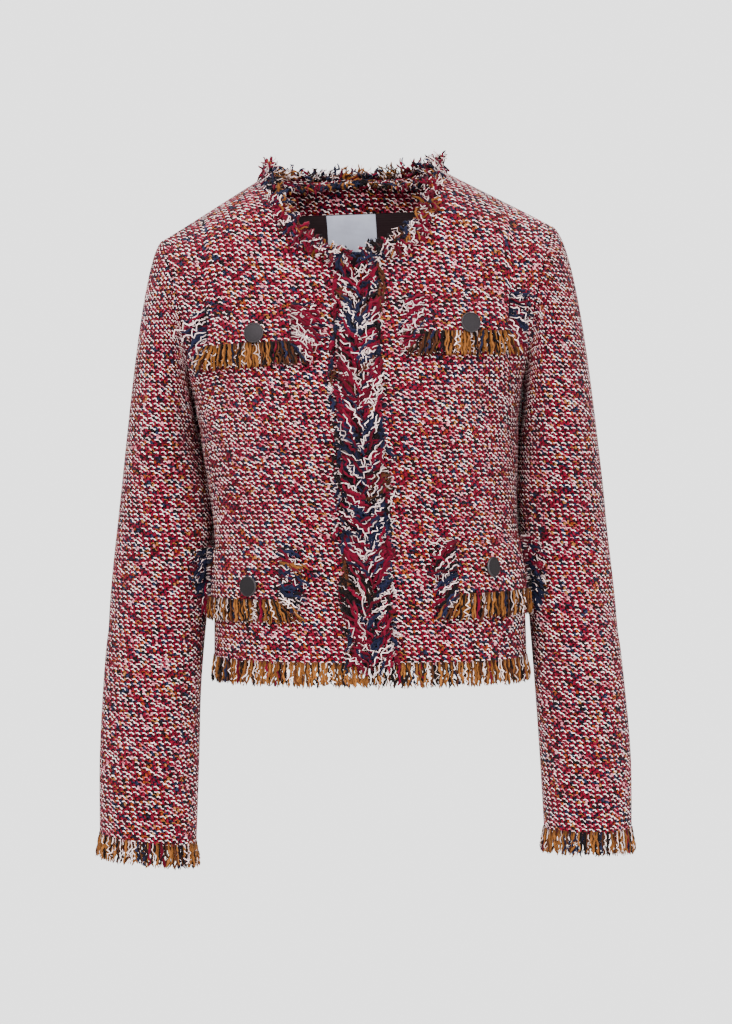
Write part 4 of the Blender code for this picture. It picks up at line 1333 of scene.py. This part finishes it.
@dataclass
class Sleeve:
    """A set-in sleeve: from the armhole its cloth runs out, turns down and becomes a tube."""

    side: Side
    front: BodyPanel
    back: BodyPanel
    reach: float
    ease: float = 0.0007
    underarm_reach: float = 0.003
    cap_drop: float = 0.085
    underarm_drop: float = 0.012
    power: float = 2.25
    columns: int = 96
    cap_rows: int = 53
    tube_rows: int = 90
    fray: float = 0.0250
    fray_pitch: float = 0.0026

    def ring(self, sizes: Array, angles: Array) -> Array:
        """An oval section: angle 0 is its inner side and a quarter turn its front.

        Args:
            sizes: z, centre x, centre y, half width, half depth and tilt.
            angles: round the section.

        Returns:
            Points of the section.
        """
        z, centre_x, centre_y, half_width, half_depth, tilt = sizes
        c, s = np.cos(angles), np.sin(angles)
        across = -np.sign(c) * np.abs(c) ** (2 / self.power)
        deep = -np.sign(s) * np.abs(s) ** (2 / self.power)
        x = centre_x + self.side.value * half_width * across
        return np.stack([x, centre_y + half_depth * deep, z + tilt * 0.5 * across], axis=-1)

    def armhole(self, angles: Array) -> Array:
        """The armhole: up the front from the underarm and down the back."""
        up = np.clip(angles / math.pi, 0.0, 1.0)
        down = np.clip(2 - angles / math.pi, 0.0, 1.0)
        span = TOP - ARMPIT
        points = []
        for panel, share in ((self.front, up), (self.back, down)):
            _, _, x, z = panel.ends(ARMPIT + span * share)
            points.append(panel.form.place(x, z, panel.half, self.side))
        edge = np.where((angles <= math.pi)[:, None], points[0], points[1])
        return edge + [self.side.value * self.ease, 0, 0]

    def surface(self) -> tuple[Array, Array, Array]:
        """Points, normals and UVs of the outer face, armhole first.

        Between the armhole and the first ring each line of cloth is a cubic curve, whose handles
        run out along the shoulder at the top and straight down at the underarm.
        """
        sign = self.side.value
        angles = np.linspace(0.0, 2 * math.pi, self.columns + 1)
        rings = np.array(SLEEVE_RINGS[self.side])
        first, second = self.ring(rings[0], angles), self.ring(rings[1], angles)
        hole = self.armhole(angles)
        topness = ((1 - np.cos(angles)) / 2)[:, None]
        slope = unit(np.array([sign, 0.0, -self.front.form.slope]))
        reach = self.underarm_reach + (self.reach - self.underarm_reach) * topness
        start = hole + reach * (slope * topness + np.array([sign, 0, -0.6]) * (1 - topness))
        drop = self.underarm_drop + (self.cap_drop - self.underarm_drop) * topness
        end = first - unit(second - first) * drop
        t = (np.linspace(0.0, 1.0, self.cap_rows + 1)[:-1] ** 1.15)[:, None, None]
        cap = (1 - t) ** 3 * hole + 3 * (1 - t) ** 2 * t * start + 3 * (1 - t) * t * t * end \
            + t ** 3 * first
        heights = np.linspace(rings[0, 0], rings[-1, 0], self.tube_rows)
        tube = []
        for z in heights:
            sizes = [float(smooth_curve(rings[::-1, k], z, rings[::-1, 0])) for k in range(1, 6)]
            tube.append(self.ring([z, *sizes], angles))
        smooth = np.concatenate([cap, np.array(tube)])
        normals = grid_normals(smooth, closed=True) * -sign
        run = np.broadcast_to(angles / (2 * math.pi) * 0.3, smooth.shape[:2])
        depth = creases(SLEEVE_FOLDS, run, smooth[:, :, 2])
        depth *= smoothstep(0.0, 10.0, np.arange(len(smooth)))[:, None]
        points = smooth - normals * depth[..., None]
        normals = grid_normals(points, closed=True) * -sign
        normals[0, :, 0] = 0.0
        across = lengths_along(smooth, 1)
        half = across[:, self.columns // 2][:, None]
        down = lengths_along(smooth, 0)
        down = down - down[self.cap_rows]
        uvs = np.stack([(across - half) * sign + 0.5, 0.3 - down], axis=-1)
        return points, unit(normals), uvs

    def build(self) -> None:
        """Make the sleeve and its frayed end."""
        points, normals, uvs = self.surface()
        word = self.side.word
        sheet = Sheet.from_grid(points, normals, uvs, -self.side.value)
        sleeve = shell(f"sleeve_{word}_cloth", sheet, TWEED, TWEED_CLOTH, LINING)
        settle(sleeve, "tweed", f"sleeve_{word}")
        edge = FrayedEdge(f"cuff_fringe_{word}_yarn", 41 + self.side.value)
        edge.hang_layers(points[-1], normals[-1], self.fray_pitch, self.fray)
        fringe = settle(edge.build(), "warp_fray", f"cuff_fringe_{word}")


# ------------------------------------------------------------------------------ flaps
class FlapCut(NamedTuple):
    """A flap's places between the rows and columns of a front."""

    low: float
    high: float
    inner: float
    outer: float


class ButtonPlace(NamedTuple):
    """A button's place on its flap, as shares, and its turn on the shank in degrees."""

    across: float
    up: float
    turn: float


CHEST_COLUMNS = (4.10, 9.90)
WAIST_COLUMNS = (5.30, 13.00)
FLAPS = {
    ("chest", Side.RIGHT): FlapCut(11.05, 12.67, *CHEST_COLUMNS),
    ("chest", Side.LEFT): FlapCut(11.25, 12.88, *CHEST_COLUMNS),
    ("waist", Side.RIGHT): FlapCut(3.08, 5.06, *WAIST_COLUMNS),
    ("waist", Side.LEFT): FlapCut(3.08, 5.06, *WAIST_COLUMNS),
}
BUTTONS = {
    ("chest", Side.RIGHT): ButtonPlace(0.42, 0.295, 0),
    ("chest", Side.LEFT): ButtonPlace(0.507, 0.25, 0),
    ("waist", Side.RIGHT): ButtonPlace(0.234, 0.30, 0),
    ("waist", Side.LEFT): ButtonPlace(0.265, 0.50, 15),
}
FLAP_GAP = 0.0010
FLAP_LIFT = 0.0016
YARN_BOUND = 0.9985  # share of the form's half width that yarns lying on it keep within


@dataclass
class PocketFlap:
    """A flap of backed tweed on a front, frayed on three sides, with its button."""

    place: str
    panel: BodyPanel
    cut: FlapCut
    button: ButtonPlace
    button_radius: float = 0.0100
    shank: float = 0.0036
    fray_pitch: float = 0.0027

    @property
    def label(self) -> str:
        """The flap's name in the nodes."""
        return f"{self.place}_{self.panel.side.word}"

    def lift(self, v: Array) -> Array:
        """Distance of the flap's face from the cloth under it, more towards its lower edge."""
        share = np.clip((self.cut.high - v) / (self.cut.high - self.cut.low), 0.0, 1.0)
        return FLAP_GAP + FLAP_CLOTH + FLAP_LIFT * share

    def face(self, v: Array, column: Array, extra: float = 0.0) -> tuple[Array, Array]:
        """Points and normals of the flap's face at rows and columns of its front."""
        x, z = self.panel.column_spots(v, column)
        points, normals = self.panel.surface(x, z)
        return points + normals * (self.lift(v) + extra)[..., None], normals

    def build(self) -> None:
        """Make the cloth, the yarn ends and the button."""
        rows = np.linspace(self.cut.low, self.cut.high, 22)
        columns = np.linspace(self.cut.inner + 0.03, self.cut.outer - 0.03, 44)
        v, column = np.meshgrid(rows, columns, indexing="ij")
        points, normals = self.face(v, column)
        x, z = self.panel.column_spots(v, column)
        edge = np.minimum.reduce([v - rows[0], (rows[-1] - v) * 0.7, (column - columns[0]) * 0.6,
                                  (columns[-1] - column) * 0.6])
        soft = 0.0009 * (1 - smoothstep(0.0, 0.16, edge))
        points = points - normals * soft[..., None]
        uvs = self.panel.cloth_uv(x, z) + [0.0031, 0.0017]
        sheet = Sheet.from_grid(points, normals, uvs, self.panel.side.value)
        cloth = shell(f"flap_{self.label}_cloth", sheet, FLAP_CLOTH, TWEED_CLOTH, LINING)
        settle(cloth, "tweed", f"flap_{self.label}")
        fringe = settle(self.fraying(), "warp_fray", f"flap_fringe_{self.label}")
        width = 0.092 if self.place == "chest" else 0.118
        0.044 if self.place == "chest" else 0.050
        self.add_button()

    def fraying(self) -> bpy.types.Object:
        """Yarn ends along the flap's foot and both its sides.

        Those of the foot fall along the cloth. Those of a side run out from it while they fall.

        Returns:
            The object.
        """
        seed = 51 + 2 * len(self.label) + self.panel.side.value + (7 if self.place == "chest" else 0)
        edge = FrayedEdge(f"flap_fringe_{self.label}_yarn", seed)
        cut = self.cut
        t = edge.steps[None, :]
        line = np.linspace(cut.inner - 0.2, cut.outer + 0.2, 80)
        x, z = self.panel.column_spots(np.full_like(line, cut.low), line)
        middle, _ = self.panel.surface(x, z)
        layers = ((-0.0014, 1.0, Blend.WARP), (0.0002, 1.0, Blend.WARP), (0.0016, 1.3, Blend.TOP_HEM))
        for lift, stretch, blend in layers:
            places, at = spaced_points(middle, np.stack([x, z], axis=1),
                                       self.fray_pitch * stretch, edge.dice)
            count = len(places)
            clump = edge.clumps(count, 2.2)
            length = edge.dice.uniform(0.0205, 0.0255, count)
            fan = (at[:, 0] - at[:, 0].mean()) / np.ptp(at[:, 0]) * 2
            sway = (edge.spread(clump, 0.0020, 0.7) + fan ** 3 * 0.009)[:, None]
            wide = np.maximum(at[:, :1] + sway * t, 0.001)
            tall = at[:, 1:] + 0.0022 - length[:, None] * t
            limit = self.panel.form.size("half_width", tall) * YARN_BOUND
            points, normals = self.panel.surface(np.minimum(wide, limit), tall)
            height = self.lift(np.array([cut.low]))[0] + lift - 0.0009 + 0.0006 * np.sin(3.1 * t)
            edge.add(points + normals * height[..., None], normals[:, 0], blend,
                     clump if blend is Blend.WARP else None)
        layers = ((0.0000, 0.0016, 0.9, 3.5, Blend.SIDE), (0.0014, 0.0018, 0.6, 3.0, Blend.SIDE),
                  (0.0030, 0.0038, 0.8, 1.3, Blend.TOP))
        for column, out, reach in ((cut.inner, -1.0, 0.0225), (cut.outer, 1.0, 0.0215)):
            rows = np.linspace(cut.low - 0.12, cut.high + 0.1, 40)
            x, z = self.panel.column_spots(rows, np.full_like(rows, column))
            middle, _ = self.panel.surface(x, z)
            for lift, pitch, turn, size, blend in layers:
                places, at = spaced_points(middle, np.stack([x, z], axis=1), pitch, edge.dice)
                count = len(places)
                clump = edge.clumps(count, size)
                fall = turn + edge.spread(clump, 0.55)
                length = reach * np.exp(edge.spread(clump, 0.12, 1.0))
                across = (length / np.hypot(1, fall))[:, None] * (t * 1.2 - 0.2 * t * t) * out
                down = (length * fall / np.hypot(1, fall))[:, None] * (0.5 * t + 0.5 * t * t)
                wide = at[:, :1] - out * 0.003 + across
                tall = at[:, 1:] - down
                bound = self.panel.form.size("half_width", tall) * YARN_BOUND
                beyond = np.maximum(wide - bound, 0.0)[..., None]
                points, normals = self.panel.surface(np.clip(wide, 0.001, bound), tall)
                height = 0.0034 + lift + 0.0014 * np.sin(math.pi * t) \
                    + edge.dice.uniform(-0.0005, 0.0012, count)[:, None]
                points = points + normals * height[..., None] \
                    + beyond * [self.panel.side.value * 0.9, -0.9, 0.0]
                edge.add(points, normals[:, 0], blend, clump)
        return edge.build()

    def add_button(self) -> None:
        """Turn a button's outline round its axis, tip it on its shank and set it on the flap."""
        r, foot = self.button_radius, self.shank
        outline = np.array([
            (0.0034, 0.0), (0.0030, foot * 0.5), (0.0031, foot), (r * 0.80, foot),
            (r * 0.965, foot + 0.0003), (r, foot + 0.0011), (r * 0.985, foot + 0.0019),
            (r * 0.94, foot + 0.0025), (r * 0.89, foot + 0.0026), (r * 0.85, foot + 0.0022),
            (r * 0.60, foot + 0.0024), (r * 0.30, foot + 0.0026)])
        sides = 56
        turn = np.arange(sides) * 2 * math.pi / sides
        rings = np.stack([outline[:, :1] * np.cos(turn), outline[:, :1] * np.sin(turn),
                          np.broadcast_to(outline[:, 1:], (len(outline), sides))], axis=-1)
        ends = np.array([[0.0, 0.0, 0.0], [0.0, 0.0, outline[-1, 1]]])
        points = np.concatenate([rings.reshape(-1, 3), ends])
        radius = np.hypot(points[:, 0], points[:, 1])
        tip = math.radians(self.button.turn)
        over = points[:, 2] - foot
        tipped = np.stack([points[:, 0] * math.cos(tip) + over * math.sin(tip), points[:, 1],
                           foot - points[:, 0] * math.sin(tip) + over * math.cos(tip)], axis=1)
        points = np.where((over > -foot * 0.1)[:, None], tipped, points)
        v = np.array([self.cut.low + (self.cut.high - self.cut.low) * self.button.up])
        c = np.array([self.cut.inner + (self.cut.outer - self.cut.inner) * self.button.across])
        point, normal = self.face(v, c, GAP)
        across = unit(np.cross([0, 0, 1], normal[0]))
        placed = point[0] + points @ np.stack([across, np.cross(normal[0], across), normal[0]])
        faces = tube_faces(len(outline), sides)
        uvs = np.stack([radius, np.zeros_like(radius)], axis=1)[faces]
        made = new_mesh(f"button_{self.label}_metal", placed, faces, uvs)
        made.data.set_sharp_from_angle(angle=math.radians(40))
        made.data.materials.append(METAL.material())
        settle(made, "gunmetal", f"button_{self.label}")


# ------------------------------------------------------------------------------ neck
@dataclass
class Neck:
    """The frayed band round the neckline, and the facing, lining and label inside the back."""

    body: Body
    band_length: float = 0.021
    seam_z: float = -0.035
    facing_half: float = 0.081
    lining_half: float = 0.105
    lining_height: float = 0.080
    label_half: float = 0.0252
    label_height: float = 0.038
    label_aside: float = 0.0055
    fall_inside: float = -0.045

    def build(self) -> None:
        """Make all of it."""
        inset = TWEED + GAP
        across = np.linspace(-1.0, 1.0, 81) * self.facing_half
        slope = BACK_YOKE[2:]
        edge = np.interp(np.abs(across), [row.neck_x for row in slope],
                         [self.body.form.shoulder_line(row.neck_x) - row.neck_under
                          for row in slope])
        facing = self.inner_layer("neck_facing_cloth", across, self.seam_z, edge, inset,
                                  FACING_CLOTH, TWEED_CLOTH)
        settle(facing, "tweed", "neck_facing")
        across = np.linspace(-1.0, 1.0, 61) * self.lining_half
        lining = self.inner_layer("back_lining_cloth", across, self.seam_z - self.lining_height,
                                  self.seam_z - GAP, inset, LINING_CLOTH, LINING)
        settle(lining, "lining", "back_lining")
        across = np.linspace(-1.0, 1.0, 21) * self.label_half - self.label_aside
        label = self.inner_layer("neck_label_cloth", across, self.seam_z - self.label_height,
                                 self.seam_z - 0.0008, inset + LINING_CLOTH + GAP, LABEL_CLOTH,
                                 LABEL)
        settle(label, "label", "neck_label")
        settle(self.band(), "warp_fray", "neck_fringe")

    def inner_layer(self, name: str, across: Array, low: float, high: Array | float,
                    inset: float, thickness: float, finish: Finish) -> bpy.types.Object:
        """A layer inside the back, between two heights.

        Args:
            name: the piece's name.
            across: places across the back, right to left.
            low: height of its lower edge.
            high: height of its upper edge, one for each place or one for all.
            inset: distance of its outer face from the outside of the back.
            thickness: of its cloth.
            finish: of its cloth.

        Returns:
            The object.
        """
        share = np.linspace(0.0, 1.0, 24)[:, None]
        x = np.broadcast_to(across, (len(share), len(across)))
        z = low + (np.broadcast_to(high, across.shape) - low) * share
        right, left = (self.body.backs[side].surface(np.abs(x), z) for side in Side)
        on_right = (x < 0)[..., None]
        points = np.where(on_right, right[0], left[0])
        normals = np.where(on_right, right[1], left[1])
        uvs = np.stack([x, z - low + 0.3], axis=-1)
        inner = points - normals * (inset + thickness)
        sheet = Sheet.from_grid(inner, -normals, uvs, 1)
        return shell(name, sheet, thickness, finish)

    def neckline(self) -> tuple[Array, Array]:
        """Points round the neckline and the cloth's normals there, from right to left."""
        points, normals = [], []
        parts = ((self.body.fronts[Side.RIGHT], PIT, TOP), (self.body.backs[Side.RIGHT], TOP, NAPE),
                 (self.body.backs[Side.LEFT], NAPE, TOP), (self.body.fronts[Side.LEFT], TOP, PIT))
        for panel, start, end in parts:
            rows = np.linspace(start, end, 60)
            x, z, _, _ = panel.ends(rows)
            at, out = panel.surface(x, z)
            points.append(at)
            normals.append(out)
        return np.concatenate(points), np.concatenate(normals)

    def band(self) -> bpy.types.Object:
        """Yarn ends on both sides of the neckline.

        Some layers stand up from the edge, most at the back. Others lie on the cloth and fall away
        from the edge, most at the front. At the back two more bend over and fall inside.

        Returns:
            The object.
        """
        edge = FrayedEdge("neck_fringe_yarn", 71, points=10, sides=4)
        line, out = self.neckline()
        tangent = unit(np.gradient(line, axis=0))
        inward = unit(np.cross(out, tangent))
        inward = inward * np.sign(inward[len(line) // 2, 2])
        carried = np.concatenate([out, inward, tangent], axis=1)
        layers = ((0.0012, 0.0022, 1.0, Blend.NECK), (0.0024, 0.0024, 1.0, Blend.NECK),
                  (0.0036, 0.0030, 1.0, Blend.SIDE), (0.0024, 0.0022, -1.0, Blend.NECK),
                  (0.0036, 0.0026, -1.0, Blend.NECK), (0.0044, 0.0030, -1.0, Blend.SIDE),
                  (-0.0022, 0.0026, 0.0, Blend.NECK), (-0.0034, 0.0030, 0.0, Blend.NECK),
                  (0.0046, 0.0060, 1.0, Blend.TOP), (0.0050, 0.0060, -1.0, Blend.TOP))
        for lift, pitch, way, blend in layers:
            part = np.s_[:] if way else line[:, 2] > self.fall_inside
            roots, sets = spaced_points(line[part], carried[part], pitch, edge.dice)
            normal, inner, along = (unit(sets[:, k:k + 3]) for k in (0, 3, 6))
            count = len(roots)
            behind = smoothstep(-0.060, 0.000, roots[:, 2])[:, None]
            clump = edge.clumps(count, 3.0)
            aside = edge.spread(clump, 0.50, 0.5)[:, None] * along
            away = edge.spread(clump, 0.45, 0.5)[:, None] + 0.1
            wild = edge.dice.normal(0, 0.18, (count, 3))
            length = self.band_length * edge.dice.uniform(0.75, 1.1, count)
            if way > 0:
                start = inner + aside + normal * 0.30 + wild
                finish = inner * 0.35 + normal * away + aside * 1.5 + wild * 2
                size = length * (0.78 + 0.12 * behind[:, 0])
                base = roots - inner * 0.005
            elif way == 0:
                start = inner * 0.8 + aside - normal * 0.5 + wild
                finish = aside * 1.4 - normal * 0.3 + [0, 0, -1.0] + wild
                size = length * 0.80
                base = roots - inner * 0.003 - normal * TWEED
            else:
                start = aside - inner + normal * 0.30 + wild * 0.7 + [0, 0, -0.3]
                finish = aside * 1.4 - inner * 0.5 + [0, 0, -0.8] + wild * 2
                size = length * (0.88 - 0.18 * behind[:, 0])
                base = roots + inner * 0.004
            edge.hang(base + normal * lift, start, finish, size, normal, blend, clump)
        return edge.build()


# ------------------------------------------------------------------------------ studio
@dataclass(frozen=True)
class Studio:
    """A pale floor, large soft lights and a level camera in front."""

    distance: float = 2.9
    height: float = -0.25
    centre_x: float = 0.013
    centre_z: float = -0.340
    picture_height: float = 1.024
    floor_z: float = -1.40
    floor_radius: float = 1.15
    floor_hole: float = 0.0002
    aim_z: float = -0.32
    surround: float = 2.45

    def build(self) -> None:
        """Set all of it up."""
        self.add_floor()
        self.add_light("key", (-1.2, -2.6, 1.5), 1.6, 176.0)
        self.add_light("fill", (1.8, -2.4, 0.7), 2.0, 96.0)
        self.add_light("top", (0.0, -0.3, 2.4), 2.0, 80.0)
        self.add_light("rear", (0.6, 2.6, 0.9), 2.4, 96.0)
        self.add_world()
        self.add_camera()

    def add_floor(self) -> None:
        """A flat disc, where the wearer would stand."""
        sides = 96
        turn = np.linspace(0, 2 * math.pi, sides + 1)[:-1]
        radii = np.array([self.floor_hole, self.floor_radius])
        points = np.stack([radii[:, None] * np.cos(turn), radii[:, None] * np.sin(turn),
                           np.full((2, sides), self.floor_z)], axis=-1).reshape(-1, 3)
        ring = np.arange(sides)
        after = (ring + 1) % sides
        faces = np.stack([ring, ring + sides, after + sides, after], axis=1)
        floor = new_mesh("floor", points, faces)
        floor.data.materials.append(Plain("floor_paint", (0.86, 0.86, 0.86)).material())

    def add_light(self, name: str, place: tuple[float, float, float], size: float,
                  power: float) -> None:
        """A square area light that looks at the middle of the jacket."""
        light = bpy.data.lights.new(name, "AREA")
        light.size, light.energy = size, power
        made = bpy.data.objects.new(name, light)
        made.location = place
        aim = Vector((0.0, 0.0, self.aim_z)) - Vector(place)
        made.rotation_euler = aim.to_track_quat("-Z", "Y").to_euler()
        bpy.context.scene.collection.objects.link(made)

    def add_world(self) -> None:
        """An even white surround."""
        world = bpy.data.worlds.new("surround")
        world.use_nodes = True
        background = world.node_tree.nodes["Background"]
        background.inputs["Color"].default_value = (1.0, 1.0, 1.0, 1.0)
        background.inputs["Strength"].default_value = self.surround
        bpy.context.scene.world = world

    def add_camera(self) -> None:
        """A level camera; its shift sets the picture's middle below its own height."""
        camera = bpy.data.cameras.new("camera")
        camera.sensor_width = 36.0
        camera.lens = camera.sensor_width * self.distance / self.picture_height
        camera.shift_y = (self.centre_z - self.height) / self.picture_height
        made = bpy.data.objects.new("camera", camera)
        made.location = (self.centre_x, -self.distance, self.height)
        made.rotation_euler = (math.pi / 2, 0.0, 0.0)
        bpy.context.scene.collection.objects.link(made)
        bpy.context.scene.camera = made


def main() -> None:
    """Build the jacket piece by piece, then the studio."""
    logging.basicConfig(level=logging.INFO, format="%(name)s %(message)s")
    body = Body()
    body.build()
    for side in Side:
        Sleeve(side, body.fronts[side], body.backs[side], CAP_REACH[side]).build()
    for (place, side), button in BUTTONS.items():
        PocketFlap(place, body.fronts[side], FLAPS[place, side], button).build()
    Neck(body).build()
    Studio().build()


if __name__ == "__main__":
    main()
